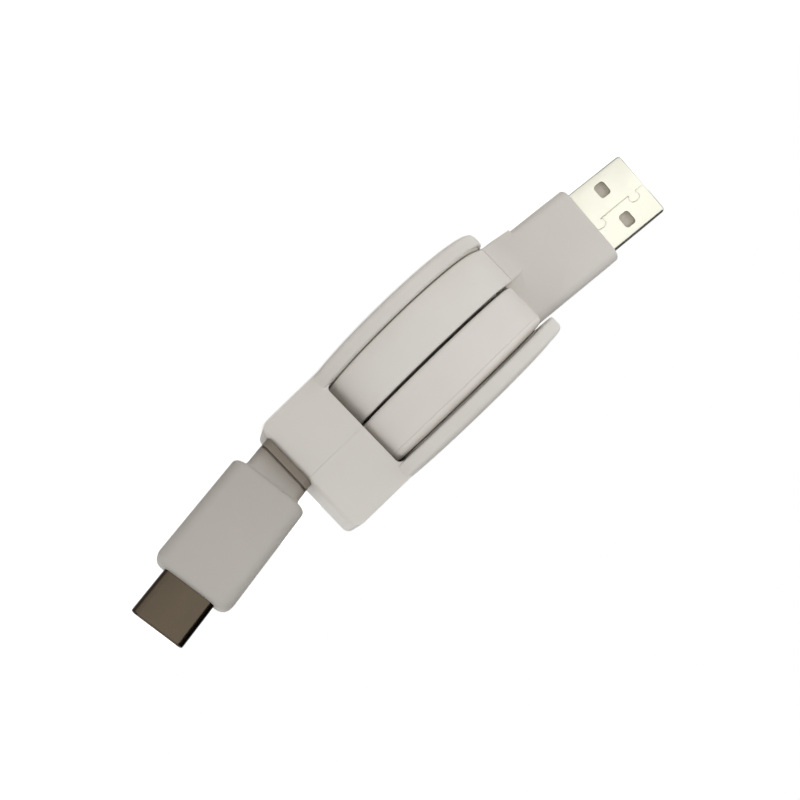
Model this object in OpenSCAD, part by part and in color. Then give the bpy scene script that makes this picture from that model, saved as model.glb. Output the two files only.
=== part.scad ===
// Spring-retractable charging cable: a reel lying on its lower disc, a USB-A
// plug docked between the discs at -X and a USB-C plug at the mouth at +X.
// Z is the reel's axis, and z = 0 is the flat face that the reel rests on.

/* [Housing] */
// Radius of the two housing discs
disc_r = 18.5; // [17:0.1:20]
// Height over both cover caps
reel_h = 20.5; // [19:0.1:22]
// Height that each cover cap stands proud of its disc
cap_proud = 0.25; // [0.15:0.05:0.5]
// Thickness of each housing disc
disc_t = 2.35; // [2:0.05:2.6]
// Width of the disc's rim outside the cover cap
cap_rim = 2.7; // [2.2:0.1:4]
// Depth of the recess that a cover cap sits in
cap_seat = 0.9; // [0.6:0.1:1.1]
// Rounding of the disc rims
rim_round = 0.8; // [0.3:0.1:0.9]

/* [Mouth block] */
// Distance that the block's end face stands out of the discs
block_reach = 8.7; // [7.5:0.1:10]
// Depth of the block's end face, front to back
block_end_d = 7.2; // [6.4:0.1:8.4]
// Slant of the block's front and back faces
block_taper = 18; // [12:1:20]
// Rounding of the block's edges
block_round = 0.9; // [0.4:0.1:1.4]
// Rounding of the block's end, seen from the front
block_end_round = 1.5; // [0.6:0.1:2.4]
// Distance that the concave inner face of the block stands back from the rim
bay_inset = 0.3; // [0.2:0.1:0.8]
// Rounding of the bay's corners
bay_round = 0.9; // [0.4:0.1:1.2]

/* [Cable] */
// Height of the block's wall over the flat cable
ribbon_cover = 0.5; // [0.4:0.1:1.5]
// Thickness of the flat cable
ribbon_t = 0.9; // [0.7:0.05:0.95]
// Distance that the wound cable stands back from the rim
coil_inset = 2.35; // [2.3:0.05:3]

/* [Spool] */
// Distance that the spring drum stands back from the rim
drum_inset = 1.4; // [1.3:0.1:1.8]
// Wall of the spring drum
drum_wall = 1.3; // [1:0.1:1.6]
// Radius of the hub that the cable is wound on
hub_r = 4.05; // [3.8:0.05:4.1]
// Radius of the axle post
axle_r = 2.9; // [2.5:0.05:3]
// Width of the gap between the wound cable and the drum
mid_gap = 0.45; // [0.35:0.05:0.9]
// Rounding of the drum's lower edge
drum_round = 0.6; // [0.3:0.1:0.9]
// Rounding of the edge of the drum's lid
lid_round = 1.2; // [0.6:0.1:1.25]

/* [Spring] */
// Thickness of the spring strip
spring_t = 0.2; // [0.1:0.05:0.25]

/* [USB-A plug] */
// Width of the overmoulded grip
a_grip_w = 14.6; // [14.2:0.1:14.8]
// Thickness of the overmoulded grip
a_grip_t = 7.2; // [6.8:0.1:8]
// Distance that the grip's front face stands out of the discs
a_reach = 17.7; // [16.5:0.1:19.5]
// Width of the shell
a_shell_w = 12; // [11.9:0.05:12.1]
// Thickness of the shell
a_shell_t = 4.5; // [4.4:0.05:4.6]
// Length of shell that stands out of the grip
a_shell_out = 12.2; // [11.75:0.05:12.5]
// Sheet thickness of the shell
a_sheet = 0.3; // [0.25:0.05:0.35]
// Upward lean of the docked plug
a_lean = 4.5; // [0:0.5:5]
// Swing of the docked plug toward the front
a_swing = 8; // [0:1:9]

/* [USB-C plug] */
// Width of the overmoulded grip
c_grip_w = 12.3; // [11.6:0.1:12.8]
// Thickness of the overmoulded grip
c_grip_t = 6.2; // [5.6:0.1:6.8]
// Length of the grip without its neck
c_grip_l = 17.5; // [16:0.1:19]
// Length of the narrower neck
c_neck_l = 2.7; // [2:0.1:3.5]
// Width of the neck
c_neck_w = 9; // [8.4:0.1:9.6]
// Width of the shell
c_shell_w = 8.25; // [8.2:0.05:8.35]
// Thickness of the shell
c_shell_t = 2.4; // [2.35:0.05:2.45]
// Length of shell that stands out of the grip
c_shell_out = 6.65; // [6.2:0.05:6.7]
// Wall of the shell
c_wall = 0.25; // [0.2:0.05:0.3]
// Upward lean of the hanging plug
c_lean = 9; // [0:1:11]
// Swing of the hanging plug toward the front
c_swing = 6; // [0:1:8]

/* [Hidden] */
$fn = 96;
eps = 0.01;
running_gap = 0.07;
body_gap = 0.3;

mid_z = reel_h / 2;
floor_z = cap_proud + disc_t;
ceil_z = reel_h - floor_z;
cap_r = disc_r - cap_rim;
cap_gap = 0.05;
dish_rim = 2.2;
dish_mid_r = 6.5;
dish_depth = 0.35;
block_x = disc_r + block_reach;
block_h = reel_h - 2 * cap_proud;
bay_r = disc_r - bay_inset;
block_in = bay_r - 4;
pin_r = 0.9;
pin_x = block_x - 5.6;
pin_y = 3.9;
pin_l = 1.5;
inner_round = 0.35;
rib_r = 14.9;
rib_w = 0.8;
rib_h = 0.25;

ribbon_z = floor_z + 0.35;
ribbon_w = mid_z - ribbon_cover - ribbon_z;
ribbon_top = ribbon_z + ribbon_w;
coil_r = disc_r - coil_inset;
strand_gap = 0.2;
strand_r0 = hub_r + ribbon_t + strand_gap;
coil_turns = floor((coil_r - ribbon_t - strand_r0) / (2 * ribbon_t + strand_gap));
strand_pitch = (coil_r - ribbon_t - strand_r0) / coil_turns;
strand_step = 12;

drum_r = disc_r - drum_inset;
drum_z = ribbon_top + mid_gap;
drum_floor = 1.2;
drum_top = ceil_z - 0.4;
cover_t = 1.3;
seam_round = 0.06;
cover_z = drum_top - cover_t;
hub_z = floor_z + 0.15;

ball_r = 0.75;
ball_inset = 5.9;
ball_track_r = drum_r - ball_inset;
ball_gap = 0.05;
track_depth = 0.65;
ball_z = drum_top - track_depth + ball_gap + ball_r;
lock_pockets = 8;

screw_r = 1.0;
screw_head_r = 1.9;
screw_head_t = 0.75;
screw_l = 6.5;
head_z = reel_h - cap_proud - cap_seat - screw_head_t;
post_top = cover_z + 0.5;
slot_w = 0.5;

spring_gap = 0.3;
spring_z = drum_z + drum_floor + spring_gap;
spring_w = cover_z - spring_gap - spring_z;
spring_out_r = drum_r - drum_wall - 0.4;
spring_in_r = axle_r + 0.45;
spring_hub_turns = 2.5;
spring_gap_turns = 1;
spring_wall_turns = 7;
spring_step = 12;
spring_pack = 0.5;
spring_wall_in = spring_out_r - spring_t - spring_pack * spring_wall_turns;
spring_tab_end = 1.6;

lead_r = coil_r + body_gap;
lead_slot = 0.35;
dock_r = disc_r - 1;
a_front_x = disc_r + a_reach;
a_entry_x = dock_r + 2.3;
a_entry_y = a_grip_t / 2 - 1.2;
lip_t = 0.45;
lip_l = 2.6;
c_entry_x = bay_r + 3;
c_entry_y = 0.4;
c_exit_y = -1.6;

a_shell_in = 7;
a_inner_l = 3.4;
a_shell_round = 0.6;
a_tongue_t = 1.9;
a_hole_w = 2.5;
a_hole_l = 2.2;
a_hole_x = 3.2;
a_hole_back = 6.5;
a_contact_pitch_in = 1;
a_contact_pitch_out = 3.5;

c_root_x = block_x + 1.9;
c_root_y = -2.2;
c_root_z = ribbon_z + ribbon_w / 2 + 0.5;
relief_l = 1.9;
neck_gap = 0.12;
neck_groove_x = -0.35;
neck_groove_w = 0.45;
neck_groove_d = 0.35;
neck_round = 1.4;
neck_slot_y = 1.25;
c_neck_t = 4.6;
c_shell_in = 5;
c_cavity_w = 6.7;
c_cavity_t = 0.85;
c_pins = 12;
c_pin_pitch = 0.5;
c_pin_l = 9.5;
c_pin_w = 0.24;
c_pin_t = 0.15;
c_pin_back = 1.4;
c_latch_l = 8.2;
c_latch_back = 1.3;
c_latch_y = 3.4;
c_latch_t = 0.2;
c_latch_h = 0.6;
c_inner_l = 8;
c_card_l = 5.9;
c_card_w = 7;
c_card_t = 0.6;
chip_x = 4;
chip_l = 1.5;
chip_w = 1.6;
chip_t = 0.45;
fit_gap = 0.02;

// Rounded rectangle centred on the origin, made of true arcs
module rounded_rect(w, h, r) {
    q = min(r, min(w, h) / 2 - eps);
    square([w - 2 * q, h], center = true);
    square([w, h - 2 * q], center = true);
    for (sx = [-1, 1], sy = [-1, 1])
        translate([sx * (w / 2 - q), sy * (h / 2 - q)]) circle(q);
}

// Bar along +X from x0 to x1 with a rounded section, y across and z up
module bar_x(x0, x1, d, h, r) {
    translate([x0, 0, 0]) rotate([90, 0, 90])
        linear_extrude(x1 - x0) rounded_rect(d, h, r);
}

// Block from x0 to x1 with its edges rounded in all three directions
module soft_block(x0, x1, d, h, r_section, r_plan, r_side) {
    intersection() {
        bar_x(x0, x1, d, h, r_section);
        translate([(x0 + x1) / 2, 0, -h / 2]) linear_extrude(h) rounded_rect(x1 - x0, d, r_plan);
        translate([(x0 + x1) / 2, d / 2, 0]) rotate([90, 0, 0])
            linear_extrude(d) rounded_rect(x1 - x0, h, r_side);
    }
}

// Disc standing on z = 0 with its rim rounded by r below and r2 above
module soft_disc(radius, t, r, r2) {
    rotate_extrude() {
        square([radius - max(r, r2), t]);
        translate([0, r]) square([radius, t - r - r2]);
        translate([radius - r, r]) intersection() {
            circle(r);
            translate([-r, -r]) square([2 * r, r]);
        }
        translate([radius - r2, t - r2]) intersection() {
            circle(r2);
            translate([-r2, 0]) square([2 * r2, r2]);
        }
    }
}

// Half depth of the block at a distance x from the reel axis
function block_half(x) = block_end_d / 2 + (block_x - x) * tan(block_taper);

// Plan of the tapered block with its two end corners rounded
module block_plan() {
    cx = block_x - block_round;
    cy = block_half(cx) - block_round / cos(block_taper);
    sx = cx + block_round * sin(block_taper);
    sy = cy + block_round * cos(block_taper);
    polygon([
        [block_in, block_half(block_in)], [sx, sy], [block_x, cy],
        [block_x, -cy], [sx, -sy], [block_in, -block_half(block_in)]
    ]);
    for (s = [-1, 1]) translate([cx, s * cy]) circle(block_round);
}

// Mouth block: tapered in plan, its long edges rounded, its end rounded from the front
module mouth_block() {
    deep = 4 * block_end_d;
    translate([0, 0, mid_z]) intersection() {
        translate([0, 0, -block_h / 2]) linear_extrude(block_h) block_plan();
        for (s = [-1, 1])
            translate([block_x, s * block_end_d / 2, 0]) rotate([0, 0, -s * block_taper])
                translate([0, -s * deep / 2, 0]) bar_x(-deep, deep, deep, block_h, block_round);
        translate([block_x - deep / 2, deep / 2, 0]) rotate([90, 0, 0])
            linear_extrude(deep) rounded_rect(deep, block_h, block_end_round);
    }
}

// Room between the discs that holds the reel, its corners rounded
module bay() {
    h = ceil_z - floor_z;
    translate([0, 0, mid_z]) rotate_extrude() intersection() {
        rounded_rect(2 * bay_r, h, bay_round);
        translate([0, -h]) square([bay_r + 1, 2 * h]);
    }
}

// Ring on the inside of a disc that closes the gap beside the reel
module disc_rib(z) {
    translate([0, 0, z]) difference() {
        cylinder(r = rib_r + rib_w / 2, h = rib_h + eps);
        translate([0, 0, -1]) cylinder(r = rib_r - rib_w / 2, h = rib_h + 2);
    }
}

// Middle height of the block, where its two halves meet
module block_half_space(z) {
    translate([0, -disc_r, z]) cube([2 * block_x, 2 * disc_r, mid_z]);
}

// Channel through the block for the flat cable, open at its two ends
module cable_channel() {
    translate([0, 0, ribbon_z - lead_slot]) linear_extrude(ribbon_w + 2 * lead_slot)
        ribbon_run(c_lead_points(), ribbon_t + 2 * lead_slot);
}

module housing_lower() {
    color("gainsboro") difference() {
        union() {
            translate([0, 0, cap_proud]) soft_disc(disc_r, disc_t, rim_round, inner_round);
            difference() {
                intersection() {
                    mouth_block();
                    block_half_space(0);
                }
                bay();
            }
            disc_rib(floor_z - eps);
            // Axle post that the spool turns on
            translate([0, 0, floor_z - eps]) cylinder(r = axle_r, h = post_top - floor_z + eps);
            // Alignment pins of the mouth block
            for (s = [-1, 1])
                translate([pin_x, s * pin_y, mid_z - 1]) cylinder(r = pin_r, h = pin_l + 1);
        }
        cable_channel();
        translate([0, 0, -eps]) cylinder(r = cap_r, h = cap_proud + cap_seat + eps);
        translate([0, 0, post_top - screw_l]) cylinder(r = screw_r - 0.15, h = screw_l + 1);
        // Slot that holds the inner end of the spring
        translate([-slot_w / 2, -axle_r - 1, spring_z - 0.2]) cube([slot_w, axle_r + 1, post_top]);
    }
}

module housing_upper() {
    color("gainsboro") difference() {
        union() {
            translate([0, 0, ceil_z]) soft_disc(disc_r, disc_t, inner_round, rim_round);
            difference() {
                intersection() {
                    mouth_block();
                    block_half_space(mid_z);
                }
                bay();
            }
            disc_rib(ceil_z - rib_h);
            // Boss that meets the axle post
            translate([0, 0, post_top]) cylinder(r = axle_r, h = ceil_z - post_top + eps);
        }
        for (s = [-1, 1])
            translate([pin_x, s * pin_y, mid_z - 1]) cylinder(r = pin_r + cap_gap, h = pin_l + 1.3);
        translate([0, 0, reel_h - cap_proud - cap_seat]) cylinder(r = cap_r, h = 3);
        translate([0, 0, post_top - 1]) cylinder(r = screw_r + 0.15, h = 9);
        translate([0, 0, head_z]) cylinder(r = screw_head_r + 0.2, h = reel_h);
        // Radial pocket that the ratchet ball rolls in
        translate([-ball_track_r, 0, ceil_z - 1])
            cylinder(r = ball_r + ball_gap, h = ball_z + ball_r + ball_gap - ceil_z + 1);
        translate([-ball_track_r, -ball_r - ball_gap, ceil_z - 1])
            cube([2.1, 2 * (ball_r + ball_gap), ball_z + ball_r + ball_gap - ceil_z + 1]);
    }
}

module cap_lower() {
    color("whitesmoke") soft_disc(cap_r - cap_gap, cap_proud + cap_seat, 0.2, 0.1);
}

module cap_upper() {
    color("whitesmoke") translate([0, 0, reel_h - cap_proud - cap_seat]) difference() {
        soft_disc(cap_r - cap_gap, cap_proud + cap_seat, 0.1, 0.2);
        // Shallow dish that leaves a raised ring and a raised middle
        translate([0, 0, cap_proud + cap_seat - dish_depth]) difference() {
            cylinder(r = cap_r - dish_rim, h = 1);
            translate([0, 0, -1]) cylinder(r = dish_mid_r, h = 3);
        }
    }
}

module centre_screw() {
    color("silver") difference() {
        union() {
            translate([0, 0, head_z]) cylinder(r = screw_head_r, h = screw_head_t - 0.1);
            translate([0, 0, head_z - screw_l + 1]) cylinder(r = screw_r - 0.2, h = screw_l - 1 + eps);
        }
        // Cross recess
        for (a = [0, 90])
            rotate([0, 0, a]) translate([-1.1, -0.2, head_z + 0.25]) cube([2.2, 0.4, 1]);
    }
}

// Point at radius r and angle a
function polar(r, a) = [r * cos(a), r * sin(a)];

// Inner radius of a cable strand after t degrees of winding
function strand_r(t) = strand_r0 + strand_pitch * t / 360;

// Closed outline of a strand that winds clockwise outward from t0 to t1
function strand_outline(a0, t0, t1) = concat(
    [for (t = [t0:strand_step:t1]) polar(strand_r(t), a0 - t)],
    [for (t = [t1:-strand_step:t0]) polar(strand_r(t) + ribbon_t, a0 - t)]
);

// Angle of the point where a strand leaves the coil toward an entry point
function leave_angle(x, y) = atan2(y, x) + acos(lead_r / norm([x, y]));

module cable_coil() {
    full = coil_turns * 360;
    a_start = 180 + leave_angle(a_entry_x, a_entry_y) - 6;
    color("white") translate([0, 0, ribbon_z]) linear_extrude(ribbon_w) {
        polygon(strand_outline(a_start + full, 0, full));
        polygon(strand_outline(a_start + full + 180, -180, full));
        // Hairpin fold that joins the two strands at the hub
        rotate([0, 0, a_start + full]) polygon([
            polar(strand_r(-180), 0), polar(strand_r(-180) + strand_gap / 2, -3),
            polar(strand_r0 + ribbon_t - strand_gap / 2, -3), polar(strand_r0 + ribbon_t, 0),
            polar(strand_r0 + ribbon_t, 9), polar(strand_r(-180), 12)
        ]);
    }
}

// Length of the straight stretch from the coil to an entry point
function lead_run(x, y) = sqrt(x * x + y * y - lead_r * lead_r);

// Stretch of cable that leaves the coil at a tangent and runs to an entry point
module tangent_lead(x, y) {
    a = leave_angle(x, y);
    run = lead_run(x, y);
    wedge = acos(lead_r / (lead_r + ribbon_t));
    reach = (lead_r + ribbon_t) * sin(wedge);
    rotate([0, 0, a]) polygon(concat(
        [for (k = [0:4]) polar(lead_r, -wedge * k / 4)],
        [[lead_r + eps, -reach], [lead_r + eps, -run]],
        [[lead_r + ribbon_t, -run], [lead_r + ribbon_t, -reach]],
        [[lead_r + ribbon_t, -reach + 0.5], [lead_r + 0.06, 0]]
    ));
}

module cable_lead_a() {
    color("white") translate([0, 0, ribbon_z]) linear_extrude(ribbon_w)
        rotate([0, 0, 180]) tangent_lead(a_entry_x, a_entry_y);
}

// Middle of the cable at a distance back along the straight stretch from its entry point
function run_point(x, y, back) = let (a = leave_angle(x, y), run = lead_run(x, y) - back)
    polar(lead_r + ribbon_t / 2, a) - run * [-sin(a), cos(a)];

// Middle line of the cable from the coil through the block to the neck of the USB-C plug
function c_lead_points() = [
    run_point(c_entry_x, c_entry_y, 9), run_point(c_entry_x, c_entry_y, 0),
    [c_entry_x + 2.2, c_exit_y + 0.1], [block_x + 0.2, c_exit_y], [c_root_x + 0.9, c_root_y - 0.1]
];

// Flat strip of thickness t along a list of points, with round joints
module ribbon_run(points, t) {
    for (k = [0:len(points) - 2]) {
        d = points[k + 1] - points[k];
        translate(points[k]) rotate([0, 0, atan2(d[1], d[0])]) translate([0, -t / 2]) square([norm(d), t]);
    }
    for (k = [1:len(points) - 2]) translate(points[k]) circle(t / 2);
}

module cable_lead_c() {
    points = c_lead_points();
    color("white") translate([0, 0, ribbon_z]) linear_extrude(ribbon_w) {
        tangent_lead(c_entry_x, c_entry_y);
        ribbon_run([for (k = [1:len(points) - 1]) points[k]], ribbon_t);
        translate(points[1]) circle(ribbon_t / 2);
    }
}

module spool() {
    color("whitesmoke") difference() {
        union() {
            translate([0, 0, drum_z]) soft_disc(drum_r, cover_z - drum_z, drum_round, seam_round);
            translate([0, 0, hub_z]) cylinder(r = hub_r, h = drum_z - hub_z + eps);
        }
        translate([0, 0, drum_z + drum_floor]) cylinder(r = drum_r - drum_wall, h = reel_h);
        translate([0, 0, hub_z - 1]) cylinder(r = axle_r + running_gap, h = reel_h);
    }
}

module spring_cover() {
    color("gainsboro") difference() {
        translate([0, 0, cover_z]) soft_disc(drum_r, cover_t, seam_round, lid_round);
        translate([0, 0, cover_z - 1]) cylinder(r = axle_r + running_gap, h = 9);
        translate([0, 0, drum_top - track_depth]) {
            // Outer lane, where the ball runs free
            difference() {
                cylinder(r = ball_track_r + 1, h = 2);
                translate([0, 0, -1]) cylinder(r = ball_track_r - 1, h = 4);
            }
            // Inner pockets, where the ball locks the spool
            for (k = [0:lock_pockets - 1])
                rotate([0, 0, k * 360 / lock_pockets]) translate([ball_track_r - 1.7, 0, 0])
                    cylinder(r = 1, h = 2);
        }
    }
}

module ratchet_ball() {
    color("silver") translate([-ball_track_r, 0, ball_z]) sphere(ball_r);
}

function smooth(u) = u * u * (3 - 2 * u);

// Radius of the spring strip after a number of turns from the axle
function spring_r(n) =
    n < spring_hub_turns ? spring_in_r + spring_pack * n :
    n < spring_hub_turns + spring_gap_turns ?
        spring_in_r + spring_pack * spring_hub_turns
        + (spring_wall_in - spring_in_r - spring_pack * spring_hub_turns)
        * smooth((n - spring_hub_turns) / spring_gap_turns) :
    spring_wall_in + spring_pack * (n - spring_hub_turns - spring_gap_turns);

module spiral_spring() {
    last = 360 * (spring_hub_turns + spring_gap_turns + spring_wall_turns);
    color("slategray") translate([0, 0, spring_z]) linear_extrude(spring_w)
        polygon(concat(
            [[0, -spring_tab_end]],
            [for (t = [0:spring_step:last]) polar(spring_r(t / 360), t - 90)],
            [for (t = [last:-spring_step:0]) polar(spring_r(t / 360) + spring_t, t - 90)],
            // Tab that hooks into the slot of the axle post
            [[-spring_t, -spring_in_r - spring_t], [-spring_t, -spring_tab_end]]
        ));
}

// Places a plug piece drawn along +X at the docked USB-A plug, its +Y side in front
module at_plug_a() {
    translate([-disc_r, 0, mid_z]) rotate([0, a_lean, a_swing]) translate([disc_r, 0, 0])
        rotate([0, 0, 180]) children();
}

// Rounded tube along X for a plug shell
module shell_tube(x0, x1, w, t, r, wall) {
    difference() {
        bar_x(x0, x1, t, w, r);
        bar_x(x0 - 1, x1 + 1, t - 2 * wall, w - 2 * wall, max(r - wall, 0.1));
    }
}

module a_grip() {
    color("whitesmoke") difference() {
        union() {
            at_plug_a() soft_block(dock_r - 4, a_front_x, a_grip_t, a_grip_w, 2.4, 0.9, 1.6);
            // Strain relief that the flat cable enters
            translate([0, 0, ribbon_z - 0.15]) linear_extrude(ribbon_w + 0.3) rotate([0, 0, 180])
                strain_relief_outline();
        }
        translate([0, 0, ribbon_z - 0.1]) linear_extrude(ribbon_w + 0.2) rotate([0, 0, 180])
            relief_slot_outline();
        at_plug_a()
            bar_x(a_front_x - a_shell_in - a_inner_l - 0.1, a_front_x + 1,
                a_shell_t + fit_gap, a_shell_w + fit_gap, a_shell_round);
        cylinder(r = dock_r, h = reel_h);
    }
}

// Section of the lip that rises from the grip along the leaving cable
module strain_relief_outline() {
    a = leave_angle(a_entry_x, a_entry_y);
    run = lead_run(a_entry_x, a_entry_y);
    top = lead_r + ribbon_t + 0.1;
    difference() {
        union() {
            rotate([0, 0, a]) translate([lead_r - 0.6, -run - 0.6])
                square([ribbon_t + 0.7 + lip_t, lip_l + 0.6]);
            rotate([0, 0, a]) translate([top + lip_t / 2, -run + lip_l]) circle(lip_t / 2);
            polygon([
                [a_entry_x - 1, 0], [a_entry_x + 3, 0], [a_entry_x + 3, a_grip_t / 2 - 0.02],
                polar(top + lip_t, a) - (run - 0.2) * [-sin(a), cos(a)]
            ]);
        }
        circle(dock_r);
        rotate([0, 0, a]) translate([0, -run + 0.3]) square([lead_r - 0.1, lip_l + 2]);
    }
}

// Section of the slot that the end of the flat cable sits in
module relief_slot_outline() {
    rotate([0, 0, leave_angle(a_entry_x, a_entry_y)])
        translate([lead_r - 0.1, -lead_run(a_entry_x, a_entry_y) - 0.3]) square([ribbon_t + 0.2, 9]);
}

module a_inner_mould() {
    color("ivory") at_plug_a()
        bar_x(a_front_x - a_shell_in - a_inner_l, a_front_x - a_shell_in,
            a_shell_t - 0.1, a_shell_w - 0.1, a_shell_round);
}

module a_shell() {
    tip = a_front_x + a_shell_out;
    color("silver") at_plug_a() difference() {
        shell_tube(a_front_x - a_shell_in, tip, a_shell_w, a_shell_t, a_shell_round, a_sheet);
        // Latch windows in both broad faces
        for (s = [-1, 1])
            translate([tip - a_hole_back - a_hole_l / 2, -a_shell_t, s * a_hole_x - a_hole_w / 2])
                cube([a_hole_l, 2 * a_shell_t, a_hole_w]);
    }
}

module a_tongue() {
    inner_t = a_shell_t / 2 - a_sheet - 0.02;
    inner_w = a_shell_w - 2 * a_sheet - 0.04;
    tip = a_front_x + a_shell_out;
    color("white") at_plug_a() difference() {
        bar_x(a_front_x - a_shell_in + 0.1, tip - 0.5, 2 * inner_t, inner_w, a_shell_round - a_sheet);
        // Mouth that the socket's own tongue enters
        translate([a_front_x - a_shell_in + 4, -a_shell_t, -a_shell_w / 2])
            cube([a_shell_in + a_shell_out, a_shell_t + inner_t - a_tongue_t, a_shell_w]);
        // Clearance of the latch windows
        for (s = [-1, 1])
            translate([tip - a_hole_back - a_hole_l / 2, inner_t - 0.5, s * a_hole_x - a_hole_w / 2])
                cube([a_hole_l, 2, a_hole_w]);
        for (z = [-a_contact_pitch_out, -a_contact_pitch_in, a_contact_pitch_in, a_contact_pitch_out])
            contact_cut(z, 0.03);
    }
}

// Room of one spring contact, grown by g on its three buried faces
module contact_cut(z, g) {
    long = abs(z) > 2;
    x1 = a_front_x + a_shell_out - (long ? 2 : 3);
    face_y = a_shell_t / 2 - a_sheet - 0.02 - a_tongue_t;
    translate([a_front_x - a_shell_in - 2, face_y - (g > 0 ? 0.5 : 0), z - 0.5 - g])
        cube([x1 - a_front_x + a_shell_in + 2 + g, 0.3 + g + (g > 0 ? 0.5 : 0), 1 + 2 * g]);
}

module a_contact(z) {
    color("goldenrod") at_plug_a() difference() {
        contact_cut(z, 0);
        translate([a_front_x - a_shell_in - 3, -9, z - 1]) cube([3.05, 18, 2]);
    }
}

module a_contact_power() { a_contact(a_contact_pitch_out); }
module a_contact_data_minus() { a_contact(a_contact_pitch_in); }
module a_contact_data_plus() { a_contact(-a_contact_pitch_in); }
module a_contact_ground() { a_contact(-a_contact_pitch_out); }

// Places a plug piece drawn along +X from its neck at the hanging USB-C plug
module at_plug_c() {
    translate([c_root_x, c_root_y, c_root_z]) rotate([0, -c_lean, -c_swing]) children();
}

module c_grip() {
    front = c_neck_l + c_grip_l;
    color("whitesmoke") difference() {
        at_plug_c() difference() {
            union() {
                soft_block(c_neck_l, front, c_grip_t, c_grip_w, 1.9, 1, 1.5);
                bar_x(-2 * relief_l, c_neck_l + 2, c_neck_t, c_neck_w, neck_round);
            }
            neck_groove();
            bar_x(front - c_shell_in - c_inner_l - 0.2, front + 1,
                c_shell_t + fit_gap, c_shell_w + fit_gap, c_shell_t / 2);
            // Slot that the end of the flat cable sits in
            translate([-3 * relief_l, -ribbon_t / 2 - 0.45, ribbon_z - c_root_z - 0.35])
                cube([4 * relief_l, ribbon_t / 2 + 0.45 + neck_slot_y, ribbon_w + 0.7]);
        }
        // The end of the neck is parallel to the block's end face and stands clear of it
        translate([0, -disc_r, -reel_h]) cube([block_x + neck_gap, 2 * disc_r, 3 * reel_h]);
    }
}

// Groove around the neck that sets off its end collar
module neck_groove() {
    difference() {
        bar_x(neck_groove_x, neck_groove_x + neck_groove_w, c_neck_t + 1, c_neck_w + 1, neck_round);
        bar_x(neck_groove_x - 1, neck_groove_x + 2, c_neck_t - 2 * neck_groove_d,
            c_neck_w - 2 * neck_groove_d, neck_round - neck_groove_d);
    }
}

module c_inner_mould() {
    front = c_neck_l + c_grip_l;
    color("ivory") at_plug_c() difference() {
        bar_x(front - c_shell_in - c_inner_l - 0.1, front - c_shell_in - 0.1,
            c_shell_t - 0.1, c_shell_w - 0.1, c_shell_t / 2 - 0.06);
        translate([front - c_shell_in - c_card_l - 0.2, -c_card_t / 2 - fit_gap, -c_card_w / 2 - 0.05])
            cube([c_card_l + 3, c_card_t + 2 * fit_gap, c_card_w + 0.1]);
        translate([front - c_shell_in - chip_x - 0.1, 0.2, -chip_w / 2 - 0.05])
            cube([chip_l + 0.2, chip_t + 0.35, chip_w + 0.1]);
    }
}

module c_shell() {
    front = c_neck_l + c_grip_l;
    color("dimgray") at_plug_c()
        shell_tube(front - c_shell_in, front + c_shell_out, c_shell_w, c_shell_t, c_shell_t / 2, c_wall);
}

module c_insulator() {
    tip = c_neck_l + c_grip_l + c_shell_out;
    color([0.15, 0.15, 0.16]) at_plug_c() difference() {
        bar_x(tip - c_shell_out - c_shell_in + 0.6, tip - 0.35, c_shell_t - 2 * c_wall - 0.04,
            c_shell_w - 2 * c_wall - 0.04, c_shell_t / 2 - c_wall - 0.03);
        translate([tip - 6, -c_cavity_t / 2, -c_cavity_w / 2]) cube([9, c_cavity_t, c_cavity_w]);
        // Rooms of the contacts and of the latch spring
        for (s = [-1, 1], k = [0:c_pins - 1])
            translate([tip - c_pin_back - c_pin_l - 0.6,
                s > 0 ? c_cavity_t / 2 - 0.2 : -c_cavity_t / 2 - 0.12,
                (k - (c_pins - 1) / 2) * c_pin_pitch - c_pin_w / 2 - fit_gap])
                cube([c_pin_l + 0.8, 2 * c_pin_t + fit_gap, c_pin_w + 2 * fit_gap]);
        for (s = [-1, 1])
            translate([tip - 6.5, -c_latch_h / 2 - fit_gap, s * c_latch_y - c_latch_t / 2 - 0.16])
                cube([5.3, c_latch_h + 2 * fit_gap, c_latch_t + 0.32]);
        translate([tip - 11.5, -c_latch_h / 2 - fit_gap, -c_latch_y - 0.23])
            cube([5.2, c_latch_h + 2 * fit_gap, 2 * c_latch_y + 0.46]);
    }
}

// Row of contacts on one face of the cavity
module c_contact_row(s) {
    tip = c_neck_l + c_grip_l + c_shell_out;
    y0 = s > 0 ? c_cavity_t / 2 - 0.05 : -c_cavity_t / 2 - 0.1;
    color("goldenrod") at_plug_c() for (k = [0:c_pins - 1])
        translate([tip - c_pin_back - c_pin_l, y0, (k - (c_pins - 1) / 2) * c_pin_pitch - c_pin_w / 2])
            cube([c_pin_l, c_pin_t, c_pin_w]);
}

module c_contacts_front() { c_contact_row(-1); }
module c_contacts_back() { c_contact_row(1); }

module c_latch_spring() {
    tip = c_neck_l + c_grip_l + c_shell_out;
    color("silver") at_plug_c() {
        for (s = [-1, 1])
            translate([tip - c_latch_back - c_latch_l, -c_latch_h / 2, s * c_latch_y - c_latch_t / 2])
                cube([c_latch_l, c_latch_h, c_latch_t]);
        translate([tip - c_latch_back - c_latch_l - c_latch_t, -c_latch_h / 2, -c_latch_y - c_latch_t / 2])
            cube([1.5 * c_latch_t, c_latch_h, 2 * c_latch_y + c_latch_t]);
    }
}

module c_card() {
    front = c_neck_l + c_grip_l;
    color("seagreen") at_plug_c()
        translate([front - c_shell_in - c_card_l - 0.1, -c_card_t / 2, -c_card_w / 2])
            cube([c_card_l, c_card_t, c_card_w]);
}

module c_resistor() {
    front = c_neck_l + c_grip_l;
    color("black") at_plug_c()
        translate([front - c_shell_in - chip_x, c_card_t / 2 + eps, -chip_w / 2])
            cube([chip_l, chip_t, chip_w]);
}

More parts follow.
